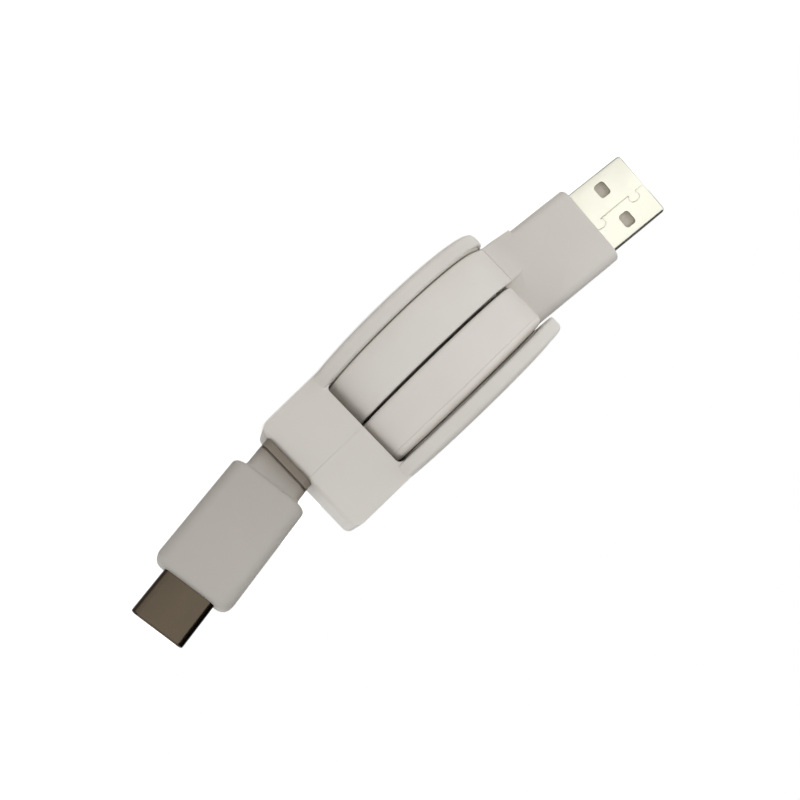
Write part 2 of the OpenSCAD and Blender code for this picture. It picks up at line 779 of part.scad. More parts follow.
housing_lower();
housing_upper();
cap_lower();
cap_upper();
centre_screw();
spiral_spring();
ratchet_ball();
spool();
spring_cover();
cable_coil();
cable_lead_a();
cable_lead_c();
a_grip();
a_inner_mould();
a_shell();
a_tongue();
a_contact_power();
a_contact_data_minus();
a_contact_data_plus();
a_contact_ground();
c_grip();
c_inner_mould();
c_shell();
c_insulator();
c_contacts_front();
c_contacts_back();
c_latch_spring();
c_card();
c_resistor();
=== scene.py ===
"""Dressed model of a spring-retractable charging cable.

A flat white cable is wound on a reel between two discs. A USB-A plug is docked
between the discs at -X and a USB-C plug hangs from the mouth block at +X. The
reel's axis is Z and the lower cover cap rests on z = 0.
"""
import logging
import math
from dataclasses import dataclass
from enum import Enum
from typing import Callable, Iterable, Sequence

import bmesh
import bpy
from mathutils import Matrix, Vector


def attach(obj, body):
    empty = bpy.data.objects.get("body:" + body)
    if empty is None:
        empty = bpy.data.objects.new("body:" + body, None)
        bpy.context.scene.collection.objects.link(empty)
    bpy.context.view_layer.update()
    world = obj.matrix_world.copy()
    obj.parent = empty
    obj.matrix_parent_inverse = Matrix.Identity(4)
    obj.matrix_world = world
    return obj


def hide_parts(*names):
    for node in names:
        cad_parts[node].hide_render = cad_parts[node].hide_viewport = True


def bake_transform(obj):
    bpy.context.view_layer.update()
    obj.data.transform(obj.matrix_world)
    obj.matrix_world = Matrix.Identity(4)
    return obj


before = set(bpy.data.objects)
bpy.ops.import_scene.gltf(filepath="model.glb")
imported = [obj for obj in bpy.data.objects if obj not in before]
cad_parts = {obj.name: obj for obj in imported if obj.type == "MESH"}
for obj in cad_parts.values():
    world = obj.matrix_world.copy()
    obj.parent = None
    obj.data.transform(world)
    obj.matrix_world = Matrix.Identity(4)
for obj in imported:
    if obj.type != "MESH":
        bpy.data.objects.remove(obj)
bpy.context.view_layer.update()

LOG = logging.getLogger("charging_cable")
MM = 0.001
# The sRGB curve: a straight start up to its knee, and a power above it
SRGB_KNEE = 0.04045
SRGB_SLOPE = 12.92
SRGB_OFFSET = 0.055
SRGB_POWER = 2.4
# Sockets of a Mix node that works on colours: its two colours and its result
MIX_A, MIX_B, MIX_OUT = 6, 7, 2
# Span that holds nearly all values of a noise texture
NOISE_LOW, NOISE_HIGH = 0.3, 0.7
# Rays by which a Bevel node softens an edge
EDGE_SAMPLES = 6
# Vertices nearer than this are one, and an edge that strays less lies along an axis
MERGE_MM = 1e-4
# Edges under this angle are shaded smooth
SMOOTH_DEG = 38.0
# How far a cutting tool stands out of what it cuts
CUT_OVER_MM = 1.0
# Corner of a fully round side, short of its half thickness so that the sides stay apart
ROUND_SHORT_MM = 0.01


class Body(Enum):
    """Bodies of the frame that modelled pieces ride on."""

    SPOOL = "spool"
    PLUG_A = "plug_a"
    PLUG_C = "plug_c"


class Slot(Enum):
    """Material slots of the part."""

    HOUSING = "housing_plastic"
    CAP = "cap_plastic"
    SCREW = "screw_steel"
    SPRING = "spring_steel"
    SPOOL = "spool_plastic"
    JACKET = "cable_jacket"
    GRIP = "grip_plastic"
    INNER = "inner_plastic"
    BRIGHT_PLATE = "nickel_plate"
    DARK_PLATE = "dark_plate"
    TONGUE = "tongue_plastic"
    GOLD = "gold_plate"
    BLACK = "black_plastic"
    BOARD = "board"


class Joining(Enum):
    """Ways to combine a piece with a tool."""

    CUT = "DIFFERENCE"
    UNITE = "UNION"


# Small helpers


def linear(hex_colour: str) -> tuple[float, float, float, float]:
    """Turn an sRGB hex colour into linear RGBA.

    Args:
        hex_colour: six hex digits with a leading #.

    Returns:
        Linear red, green, blue and an alpha of 1.
    """
    parts = [int(hex_colour[i:i + 2], 16) / 255 for i in (1, 3, 5)]
    rgb = [p / SRGB_SLOPE if p <= SRGB_KNEE
           else ((p + SRGB_OFFSET) / (1 + SRGB_OFFSET)) ** SRGB_POWER for p in parts]
    return (rgb[0], rgb[1], rgb[2], 1.0)


def add_node(tree: bpy.types.NodeTree, kind: str, settings: dict | None = None,
             links: dict | None = None) -> bpy.types.Node:
    """Add one node with its settings and incoming links.

    Args:
        tree: node tree that gets the node.
        kind: Blender's node type name.
        settings: values by the input's name or number, or by the property's name.
        links: source sockets by the name or number of this node's input.

    Returns:
        The new node.
    """
    node = tree.nodes.new(kind)
    for key, value in (settings or {}).items():
        if isinstance(key, int) or key in node.inputs:
            node.inputs[key].default_value = value
        else:
            setattr(node, key, value)
    for key, source in (links or {}).items():
        tree.links.new(source, node.inputs[key])
    return node


# Finishes


@dataclass(frozen=True)
class Finish:
    """A finish named for what the real surface is."""

    name: str
    colour: str
    roughness: float

    def material(self) -> bpy.types.Material:
        """Find the finish's material, or make it on first use.

        Returns:
            The material.
        """
        known = bpy.data.materials.get(self.name)
        if known is not None:
            return known
        material = bpy.data.materials.new(self.name)
        material.use_nodes = True
        material.node_tree.nodes.clear()
        self.build(material.node_tree)
        return material

    def build(self, tree: bpy.types.NodeTree) -> None:
        """Fill the node tree. Each kind of finish has its own."""
        raise NotImplementedError

    def mottled(self, tree: bpy.types.NodeTree, pattern: bpy.types.Node, second: str
                ) -> bpy.types.Node:
        """Run the finish's colour into a second one by a pattern.

        Args:
            tree: node tree of the material.
            pattern: noise texture that gives each colour's share.
            second: hex value of the second colour.

        Returns:
            The node whose colour result is the mottled tone.
        """
        return add_node(tree, "ShaderNodeMix",
                        {"data_type": "RGBA", "clamp_factor": True,
                         MIX_A: linear(self.colour), MIX_B: linear(second)},
                        {"Factor": pattern.outputs["Fac"]})

    def dress(self, piece: bpy.types.Object) -> None:
        """Give the whole piece this finish.

        Args:
            piece: the piece or CAD node.
        """
        piece.data.materials.clear()
        piece.data.materials.append(self.material())
        for face in piece.data.polygons:
            face.material_index = 0


@dataclass(frozen=True)
class MouldedPlastic(Finish):
    """Moulded plastic: faint cloudiness, a fine satin grain, softened edges, and painted shade
    along X where a finish has it.
    """

    cloud_colour: str = "#ffffff"
    cloud_mm: float = 9.0
    cloud_detail: float = 2.0
    cloud_roughness: float = 0.5
    grain_mm: float = 0.3
    grain_detail: float = 3.0
    grain_roughness: float = 0.55
    grain_height_mm: float = 0.004
    gloss_spread: float = 0.05
    edge_mm: float = 0.12
    ior: float = 1.53
    coat: float = 0.0
    coat_roughness: float = 0.2
    # Painted shade: colour towards which the plastic darkens at low X, and the span along X over
    # which it fades out
    painted_shade_colour: str = ""
    painted_shade_x_mm: tuple[float, float] = (0.0, 1.0)

    def build(self, tree: bpy.types.NodeTree) -> None:
        """Fill the node tree of the plastic.

        Args:
            tree: node tree of the material.
        """
        place = add_node(tree, "ShaderNodeTexCoord")
        cloud = add_node(tree, "ShaderNodeTexNoise",
                         {"Scale": 1 / (self.cloud_mm * MM), "Detail": self.cloud_detail,
                          "Roughness": self.cloud_roughness},
                         {"Vector": place.outputs["Object"]})
        tone = self.mottled(tree, cloud, self.cloud_colour)
        # Painted shade, where the finish has one
        if self.painted_shade_colour:
            tone = self.add_painted_shade(tree, place, tone)
        grain = add_node(tree, "ShaderNodeTexNoise",
                         {"Scale": 1 / (self.grain_mm * MM), "Detail": self.grain_detail,
                          "Roughness": self.grain_roughness},
                         {"Vector": place.outputs["Object"]})
        gloss = add_node(tree, "ShaderNodeMapRange",
                         {"From Min": NOISE_LOW, "From Max": NOISE_HIGH,
                          "To Min": self.roughness - self.gloss_spread,
                          "To Max": self.roughness + self.gloss_spread},
                         {"Value": grain.outputs["Fac"]})
        edge = add_node(tree, "ShaderNodeBevel",
                        {"samples": EDGE_SAMPLES, "Radius": self.edge_mm * MM})
        relief = add_node(tree, "ShaderNodeBump",
                          {"Strength": 1.0, "Distance": self.grain_height_mm * MM},
                          {"Height": grain.outputs["Fac"], "Normal": edge.outputs["Normal"]})
        surface = add_node(tree, "ShaderNodeBsdfPrincipled",
                           {"IOR": self.ior, "Coat Weight": self.coat,
                            "Coat Roughness": self.coat_roughness},
                           {"Base Color": tone.outputs[MIX_OUT],
                            "Roughness": gloss.outputs["Result"],
                            "Normal": relief.outputs["Normal"]})
        add_node(tree, "ShaderNodeOutputMaterial", None, {"Surface": surface.outputs["BSDF"]})

    def add_painted_shade(self, tree: bpy.types.NodeTree, place: bpy.types.Node, tone: bpy.types.Node
             ) -> bpy.types.Node:
        """Paint shade: turn the colour darker towards low X, where a neighbouring part shades the
        plastic.

        Args:
            tree: node tree of the material.
            place: the node that gives the surface's place.
            tone: the node that gives the colour so far.

        Returns:
            The node whose colour result is the tone with the painted shade.
        """
        shade_start, shade_end = self.painted_shade_x_mm
        axes = add_node(tree, "ShaderNodeSeparateXYZ", None, {0: place.outputs["Object"]})
        share = add_node(tree, "ShaderNodeMapRange",
                         {"interpolation_type": "SMOOTHSTEP", "From Min": shade_start * MM,
                          "From Max": shade_end * MM, "To Min": 1.0, "To Max": 0.0},
                         {"Value": axes.outputs["X"]})
        return add_node(tree, "ShaderNodeMix",
                        {"data_type": "RGBA", "clamp_factor": True,
                         MIX_B: linear(self.painted_shade_colour)},
                        {"Factor": share.outputs["Result"], MIX_A: tone.outputs[MIX_OUT]})


@dataclass(frozen=True)
class Metal(Finish):
    """Plated or bare metal: faint rolling lines, handling haze, softened edges, and a painted
    darker reflection where it turns away from the eye.
    """

    haze_colour: str = "#ffffff"
    haze_mm: float = 4.0
    haze_detail: float = 3.0
    gloss_below: float = 0.05
    gloss_above: float = 0.06
    gloss_least: float = 0.03
    line_mm: float = 0.12
    line_stretch: float = 25.0
    line_detail: float = 2.0
    line_height_mm: float = 0.0008
    edge_mm: float = 0.06
    # Painted reflection: the darker colour taken where the surface turns away from the eye, and the
    # span of facing over which it comes in
    painted_reflection_colour: str = "#5b554a"
    painted_reflection_blend: float = 0.5
    painted_reflection_from: float = 0.3
    painted_reflection_to: float = 0.65

    def build(self, tree: bpy.types.NodeTree) -> None:
        """Fill the node tree of the metal.

        Args:
            tree: node tree of the material.
        """
        place = add_node(tree, "ShaderNodeTexCoord")
        haze = add_node(tree, "ShaderNodeTexNoise",
                        {"Scale": 1 / (self.haze_mm * MM), "Detail": self.haze_detail},
                        {"Vector": place.outputs["Object"]})
        tone = self.mottled(tree, haze, self.haze_colour)
        # Painted reflection: where the surface turns away from the eye, its colour runs into a
        # darker one, as if it mirrored darker surroundings
        turned = add_node(tree, "ShaderNodeLayerWeight", {"Blend": self.painted_reflection_blend})
        rim = add_node(tree, "ShaderNodeMapRange",
                       {"From Min": self.painted_reflection_from, "From Max": self.painted_reflection_to},
                       {"Value": turned.outputs["Facing"]})
        shade = add_node(tree, "ShaderNodeMix",
                         {"data_type": "RGBA", "clamp_factor": True,
                          MIX_B: linear(self.painted_reflection_colour)},
                         {"Factor": rim.outputs["Result"], MIX_A: tone.outputs[MIX_OUT]})
        along_x = add_node(tree, "ShaderNodeMapping",
                           {"Scale": (1 / self.line_stretch, 1.0, 1.0)},
                           {"Vector": place.outputs["Object"]})
        lines = add_node(tree, "ShaderNodeTexNoise",
                         {"Scale": 1 / (self.line_mm * MM), "Detail": self.line_detail},
                         {"Vector": along_x.outputs["Vector"]})
        gloss = add_node(tree, "ShaderNodeMapRange",
                         {"From Min": NOISE_LOW, "From Max": NOISE_HIGH,
                          "To Min": max(self.roughness - self.gloss_below, self.gloss_least),
                          "To Max": self.roughness + self.gloss_above},
                         {"Value": haze.outputs["Fac"]})
        edge = add_node(tree, "ShaderNodeBevel",
                        {"samples": EDGE_SAMPLES, "Radius": self.edge_mm * MM})
        relief = add_node(tree, "ShaderNodeBump",
                          {"Strength": 1.0, "Distance": self.line_height_mm * MM},
                          {"Height": lines.outputs["Fac"], "Normal": edge.outputs["Normal"]})
        surface = add_node(tree, "ShaderNodeBsdfPrincipled", {"Metallic": 1.0},
                           {"Base Color": shade.outputs[MIX_OUT],
                            "Roughness": gloss.outputs["Result"],
                            "Normal": relief.outputs["Normal"]})
        add_node(tree, "ShaderNodeOutputMaterial", None, {"Surface": surface.outputs["BSDF"]})


# Injection moulded ABS, satin tool texture: soft broad highlights, warm off-white
HOUSING_ABS = MouldedPlastic("injection_moulded_abs_housing", "#e4dfd8", 0.42,
                             cloud_colour="#e8e4dd")
# The same ABS on the cover caps: a shade darker, and smoother from a finer tool
CAP_ABS = MouldedPlastic("injection_moulded_abs_caps", "#e0dbd4", 0.36, cloud_colour="#e4e0da")
# Moulded acetal of the spool: slightly waxy and smooth
SPOOL_ACETAL = MouldedPlastic("moulded_acetal_spool", "#e8e2db", 0.38, cloud_colour="#ece7e1",
                              grain_height_mm=0.002)
# Extruded TPE jacket of the flat cable: matte, with no tool texture
CABLE_TPE = MouldedPlastic("extruded_tpe_cable_jacket", "#e8e3dc", 0.5, cloud_colour="#eeeae4",
                           grain_height_mm=0.003, ior=1.5)
# Overmoulded TPE of the plug grips: matte and finely textured
GRIP_TPE = MouldedPlastic("overmoulded_tpe_grip", "#dfdad3", 0.52, cloud_colour="#e5e0d9",
                          grain_height_mm=0.005, ior=1.5)
# The same on the USB-C plug: greyer as in the photograph, with brown-grey shade painted on its
# neck, where the mouth block shades it
GRIP_TPE_GREY = MouldedPlastic("overmoulded_tpe_grip_grey", "#c3beb7", 0.52,
                               cloud_colour="#c9c4bd", grain_height_mm=0.005, ior=1.5,
                               # Painted shade on the neck next to the mouth block, full at x 27.5
                               # mm and gone by 32 mm
                               painted_shade_colour="#877d70", painted_shade_x_mm=(27.5, 32.0))
# Low-melt polyethylene inner mould: waxy and slightly yellow
INNER_PE = MouldedPlastic("moulded_polyethylene_inner", "#ddd9c8", 0.45, cloud_colour="#e5e1d2")
# Glass-filled PBT tongue of the USB-A plug: beige grey
TONGUE_PBT = MouldedPlastic("glass_filled_pbt_tongue", "#cfc8ba", 0.5, cloud_colour="#d6d0c3")
# Black LCP of the USB-C insulator: dense, slightly grey
BLACK_LCP = MouldedPlastic("moulded_lcp_insulator", "#1a1a1b", 0.5, cloud_colour="#222222")
# Bright nickel over drawn steel: warm mirror with a light haze
BRIGHT_NICKEL = Metal("bright_nickel_plated_steel", "#fdfbe8", 0.24, haze_colour="#fffdf0")
# Darker nickel plating of the USB-C shell: bronze-brown reflection, and a near-black painted
# reflection where it turns away from the eye
DARK_NICKEL = Metal("dark_nickel_plated_steel", "#61574a", 0.2, haze_colour="#685d4e",
                    painted_reflection_colour="#2c2118", painted_reflection_from=0.1, painted_reflection_to=0.3)
# Zinc-plated steel of the screw and the polished steel ball: grey and half bright
ZINC_STEEL = Metal("zinc_plated_steel", "#c6c6c8", 0.3, haze_colour="#cfcfcf")
# Blued spring strip: cold grey-blue with rolling lines
BLUED_SPRING = Metal("blued_spring_steel_strip", "#4c5058", 0.3, haze_colour="#5a5f68")
# Hard gold over copper alloy contacts: warm yellow, half bright
GOLD_CONTACT = Metal("gold_plated_contacts", "#e6c073", 0.25, haze_colour="#efcd86")
# Green solder mask on the small card: glossy under a thin clear coat
SOLDER_MASK = MouldedPlastic("solder_mask_on_card", "#1f6a40", 0.3, cloud_colour="#237548",
                             cloud_mm=2.0, coat=0.3)
# Black chip-resistor body: smooth glaze
CHIP_BLACK = MouldedPlastic("glazed_resistor_body", "#202022", 0.3, cloud_colour="#2a2a2c")

NODE_FINISHES: dict[str, tuple[Finish, Slot]] = {
    "housing_lower": (HOUSING_ABS, Slot.HOUSING),
    "housing_upper": (HOUSING_ABS, Slot.HOUSING),
    "cap_lower": (CAP_ABS, Slot.CAP),
    "cap_upper": (CAP_ABS, Slot.CAP),
    "centre_screw": (ZINC_STEEL, Slot.SCREW),
    "ratchet_ball": (ZINC_STEEL, Slot.SCREW),
    "spiral_spring": (BLUED_SPRING, Slot.SPRING),
    "spool": (SPOOL_ACETAL, Slot.SPOOL),
    "spring_cover": (SPOOL_ACETAL, Slot.SPOOL),
    "cable_coil": (CABLE_TPE, Slot.JACKET),
    "cable_lead_a": (CABLE_TPE, Slot.JACKET),
    "cable_lead_c": (CABLE_TPE, Slot.JACKET),
    "a_grip": (GRIP_TPE, Slot.GRIP),
    "a_inner_mould": (INNER_PE, Slot.INNER),
    "a_shell": (BRIGHT_NICKEL, Slot.BRIGHT_PLATE),
    "a_tongue": (TONGUE_PBT, Slot.TONGUE),
    "a_contact_power": (GOLD_CONTACT, Slot.GOLD),
    "a_contact_data_minus": (GOLD_CONTACT, Slot.GOLD),
    "a_contact_data_plus": (GOLD_CONTACT, Slot.GOLD),
    "a_contact_ground": (GOLD_CONTACT, Slot.GOLD),
    "c_grip": (GRIP_TPE_GREY, Slot.GRIP),
    "c_inner_mould": (INNER_PE, Slot.INNER),
    "c_shell": (DARK_NICKEL, Slot.DARK_PLATE),
    "c_insulator": (BLACK_LCP, Slot.BLACK),
    "c_contacts_front": (GOLD_CONTACT, Slot.GOLD),
    "c_contacts_back": (GOLD_CONTACT, Slot.GOLD),
    "c_latch_spring": (ZINC_STEEL, Slot.SCREW),
    "c_card": (SOLDER_MASK, Slot.BOARD),
    "c_resistor": (CHIP_BLACK, Slot.BLACK),
}


# Modelling tools. Pieces are modelled in millimetres in the part's frame, and made metres last.


def only(*pieces: bpy.types.Object) -> None:
    """Select just these pieces and make the first one active.

    Args:
        pieces: the pieces to select.
    """
    bpy.ops.object.select_all(action="DESELECT")
    for piece in pieces:
        piece.select_set(True)
    bpy.context.view_layer.objects.active = pieces[0]


def pose(piece: bpy.types.Object, matrix: Matrix) -> None:
    """Move a piece by a matrix and write the move into its mesh.

    Args:
        piece: the piece to move.
        matrix: the move.
    """
    only(piece)
    piece.matrix_world = matrix @ piece.matrix_world
    bpy.ops.object.transform_apply(location=True, rotation=True, scale=True)


def select_edges(piece: bpy.types.Object, wanted: Callable[[Vector, Vector], bool]) -> None:
    """In edit mode, select the edges whose two ends pass the test.

    Args:
        piece: the piece in edit mode.
        wanted: test of an edge's two ends.
    """
    mesh = bmesh.from_edit_mesh(piece.data)
    for edge in mesh.edges:
        edge.select_set(wanted(edge.verts[0].co, edge.verts[1].co))
    bmesh.update_edit_mesh(piece.data)


def close_up(piece: bpy.types.Object) -> None:
    """Merge doubled vertices and turn the normals outward.

    Args:
        piece: the piece to close.
    """
    only(piece)
    bpy.ops.object.mode_set(mode="EDIT")
    bpy.ops.mesh.select_all(action="SELECT")
    bpy.ops.mesh.remove_doubles(threshold=MERGE_MM)
    bpy.ops.mesh.select_all(action="SELECT")
    bpy.ops.mesh.normals_make_consistent(inside=False)
    bpy.ops.object.mode_set(mode="OBJECT")


def along(axis: int) -> Callable[[Vector, Vector], bool]:
    """Return a test for edges that run along one axis."""
    return lambda a, b: all(abs(a[i] - b[i]) < MERGE_MM for i in range(3) if i != axis)


def block(name: str, low: Sequence[float], high: Sequence[float]) -> bpy.types.Object:
    """Add a box between two corners.

    Args:
        name: the piece's name.
        low: lowest x, y, z in mm.
        high: highest x, y, z in mm.

    Returns:
        The box.
    """
    bpy.ops.object.select_all(action="DESELECT")
    bpy.ops.mesh.primitive_cube_add(
        size=1, location=[(a + b) / 2 for a, b in zip(low, high)],
        scale=[b - a for a, b in zip(low, high)])
    piece = bpy.context.active_object
    piece.name = name
    bpy.ops.object.transform_apply(location=True, rotation=True, scale=True)
    return piece


def round_edges(piece: bpy.types.Object, wanted: Callable[[Vector, Vector], bool],
                radius: float, segments: int) -> None:
    """Round the chosen edges of a piece.

    Args:
        piece: the piece.
        wanted: test of an edge's two ends.
        radius: radius of the rounding in mm.
        segments: steps of the rounding.
    """
    only(piece)
    bpy.ops.object.mode_set(mode="EDIT")
    bpy.ops.mesh.select_mode(type="EDGE")
    bpy.ops.mesh.select_all(action="DESELECT")
    select_edges(piece, wanted)
    bpy.ops.mesh.bevel(offset=radius, segments=segments, affect="EDGES")
    bpy.ops.object.mode_set(mode="OBJECT")


def combine(piece: bpy.types.Object, tool: bpy.types.Object, joining: Joining = Joining.CUT
            ) -> None:
    """Cut a tool out of a piece, or unite the two, and remove the tool.

    Args:
        piece: the piece that stays.
        tool: the piece that is used up.
        joining: whether it is cut away or united.
    """
    only(piece)
    cut = piece.modifiers.new("cut", "BOOLEAN")
    cut.operation = joining.value
    cut.object = tool
    cut.solver = "MANIFOLD"
    bpy.ops.object.modifier_apply(modifier=cut.name)
    bpy.data.objects.remove(tool)


def loft(name: str, half_y: float, half_z: float, radius: float,
         stations: Sequence[tuple[float, float, float]], closed: bool = False,
         segments: int = 6) -> bpy.types.Object:
    """Draw a rounded section along X and change its size from station to station.

    Args:
        name: the piece's name.
        half_y: half depth of the first section in mm.
        half_z: half width of the first section in mm.
        radius: corner radius of the first section in mm.
        stations: place along X, half depth and half width of each section.
        closed: whether the last section joins the first, as in a tube's wall.
        segments: steps of each rounded corner.

    Returns:
        The lofted piece, its axis on X.
    """
    bpy.ops.object.select_all(action="DESELECT")
    bpy.ops.mesh.primitive_plane_add(size=1, location=(stations[0][0], 0, 0),
                                     rotation=(0, math.pi / 2, 0))
    piece = bpy.context.active_object
    piece.name = name
    piece.scale = (2 * half_z, 2 * half_y, 1)
    bpy.ops.object.transform_apply(location=True, rotation=True, scale=True)
    bpy.ops.object.mode_set(mode="EDIT")
    bpy.ops.mesh.select_all(action="SELECT")
    bpy.ops.mesh.bevel(offset=radius, segments=segments, affect="VERTICES")
    bpy.ops.mesh.select_all(action="SELECT")
    extrude = bpy.ops.mesh.extrude_region_move
    if closed:
        bpy.ops.mesh.delete(type="ONLY_FACE")
        bpy.ops.mesh.select_all(action="SELECT")
        extrude = bpy.ops.mesh.extrude_edges_move
    here = (stations[0][0], half_y, half_z)
    for x, y, z in stations[1:]:
        extrude(TRANSFORM_OT_translate={"value": (x - here[0], 0, 0)})
        bpy.ops.transform.resize(value=(1, y / here[1], z / here[2]), center_override=(x, 0, 0))
        here = (x, y, z)
    if closed:
        bpy.ops.mesh.select_all(action="DESELECT")
        bpy.ops.mesh.select_non_manifold()
        bpy.ops.mesh.bridge_edge_loops()
    bpy.ops.object.mode_set(mode="OBJECT")
    close_up(piece)
    return piece


def prism(name: str, outline: Sequence[tuple[float, float]], low: float, high: float
          ) -> bpy.types.Object:
    """Draw a closed outline in plan and raise it from one height to another.

    Args:
        name: the piece's name.
        outline: corners of the outline in mm, in order.
        low: height of its lower face in mm.
        high: height of its upper face in mm.

    Returns:
        The prism.
    """
    bpy.ops.object.select_all(action="DESELECT")
    bpy.ops.mesh.primitive_circle_add(vertices=len(outline), radius=1, fill_type="NGON",
                                      location=(0, 0, 0))
    piece = bpy.context.active_object
    piece.name = name
    for vertex, (x, y) in zip(piece.data.vertices, outline):
        vertex.co = (x, y, low)
    bpy.ops.object.mode_set(mode="EDIT")
    bpy.ops.mesh.select_all(action="SELECT")
    bpy.ops.mesh.extrude_region_move(TRANSFORM_OT_translate={"value": (0, 0, high - low)})
    bpy.ops.object.mode_set(mode="OBJECT")
    close_up(piece)
    return piece


def swept(name: str, route: Sequence[Sequence[float]], radius: float, extrude: float = 0.0,
          steps: int = 3) -> bpy.types.Object:
    """Sweep a round or flat section along a route.

    Args:
        name: the piece's name.
        route: points in mm.
        radius: radius of the section's rounding in mm.
        extrude: half of the flat width between the roundings in mm, along Z.
        steps: steps of the rounding.

    Returns:
        The swept piece with closed ends.
    """
    bpy.ops.object.select_all(action="DESELECT")
    bpy.ops.curve.primitive_nurbs_path_add(location=(0, 0, 0))
    piece = bpy.context.active_object
    piece.name = name
    data = piece.data
    data.splines.clear()
    line = data.splines.new("POLY")
    line.points.add(len(route) - 1)
    for point, place in zip(line.points, route):
        point.co = (*place, 1.0)
    data.dimensions = "3D"
    data.twist_mode = "Z_UP"
    data.fill_mode = "FULL"
    data.bevel_depth = radius
    data.bevel_resolution = steps
    data.extrude = extrude
    data.use_fill_caps = True
    bpy.ops.object.convert(target="MESH")
    piece = bpy.context.active_object
    close_up(piece)
    return piece


def finish(piece: bpy.types.Object, coat: Finish, body: Body | None,
           nodes: Sequence[str]) -> None:
    """Clean a modelled piece, make it metres, dress it and let it stand in for CAD nodes.

    Args:
        piece: the piece, in millimetres.
        coat: its finish.
        body: the body it rides on, or None.
        nodes: the CAD nodes that it replaces.
    """
    close_up(piece)
    pose(piece, Matrix.Scale(MM, 4))
    bpy.ops.object.shade_smooth_by_angle(angle=math.radians(SMOOTH_DEG))
    coat.dress(piece)
    if body is not None:
        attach(piece, body.value)
    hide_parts(*nodes)
    LOG.info("piece %s: %d faces, %s", piece.name, len(piece.data.polygons), coat.name)


def spaced(a: Sequence[float], b: Sequence[float], count: int) -> list[tuple[float, float]]:
    """Space points evenly on a straight line in plan.

    Args:
        a: first end in mm.
        b: second end in mm.
        count: number of steps between the ends.

    Returns:
        The points, both ends included.
    """
    return [(a[0] + (b[0] - a[0]) * i / count, a[1] + (b[1] - a[1]) * i / count)
            for i in range(count + 1)]


def bend(first: Vector, corner: Vector, last: Vector, share: float) -> Vector:
    """Point of the soft bend that leaves one place for a corner and turns to another.

    Args:
        first: where the bend begins.
        corner: where its two straight runs would meet.
        last: where the bend ends.
        share: how far along the bend the point lies, 0 to 1.

    Returns:
        The point.
    """
    rest = 1 - share
    return first * rest ** 2 + corner * 2 * share * rest + last * share * share


def rounded_route(corners: Sequence[tuple[float, float]], reach: float, step: float
                  ) -> list[tuple[float, float]]:
    """Run a route in plan through corners and round each of them.

    Args:
        corners: the corners in mm, with both ends.
        reach: length before and after a corner where it is rounded, in mm.
        step: length of a step in mm.

    Returns:
        The points of the route.
    """
    # A rounding takes less than half of a short run, so that two of them never meet
    most, fewest = 0.48, 3
    route: list[tuple[float, float]] = [tuple(corners[0])]
    for before, corner, after in zip(corners, corners[1:], corners[2:]):
        mid = Vector(corner)
        back, on = Vector(before) - mid, Vector(after) - mid
        cut = min(reach, back.length * most, on.length * most)
        first, last = mid + back.normalized() * cut, mid + on.normalized() * cut
        gap = (first - Vector(route[-1])).length
        route += spaced(route[-1], first, max(1, round(gap / step)))[1:]
        steps = max(fewest, round(2 * cut / step))
        for i in range(1, steps + 1):
            point = bend(first, mid, last, i / steps)
            route.append((point.x, point.y))
    gap = (Vector(corners[-1]) - Vector(route[-1])).length
    return route + spaced(route[-1], corners[-1], max(1, round(gap / step)))[1:]


def smooth_line(points: Sequence[tuple[float, float, float]], cuts: int, straight: float
                ) -> list[tuple[float, float, float]]:
    """Run a smooth line through points.

    Args:
        points: the points in mm.
        cuts: steps of each bent stretch.
        straight: a stretch of this length or more stays straight, in mm.

    Returns:
        The points of the line.
    """
    line: list[tuple[float, float, float]] = []
    ends = [points[0], *points, points[-1]]
    for p0, p1, p2, p3 in zip(ends, ends[1:], ends[2:], ends[3:]):
        steps = cuts if math.dist(p1, p2) < straight else 1
        for i in range(steps):
            # A cubic through both ends of the stretch, in line with its neighbours there
            u = i / steps
            line.append(tuple(
                0.5 * (2 * b + (c - a) * u * (steps > 1) + (2 * a - 5 * b + 4 * c - d) * u * u
                       + (3 * b - a - 3 * c + d) * u ** 3)
                for a, b, c, d in zip(p0, p1, p2, p3)))
    line.append(points[-1])
    return line


# Cable


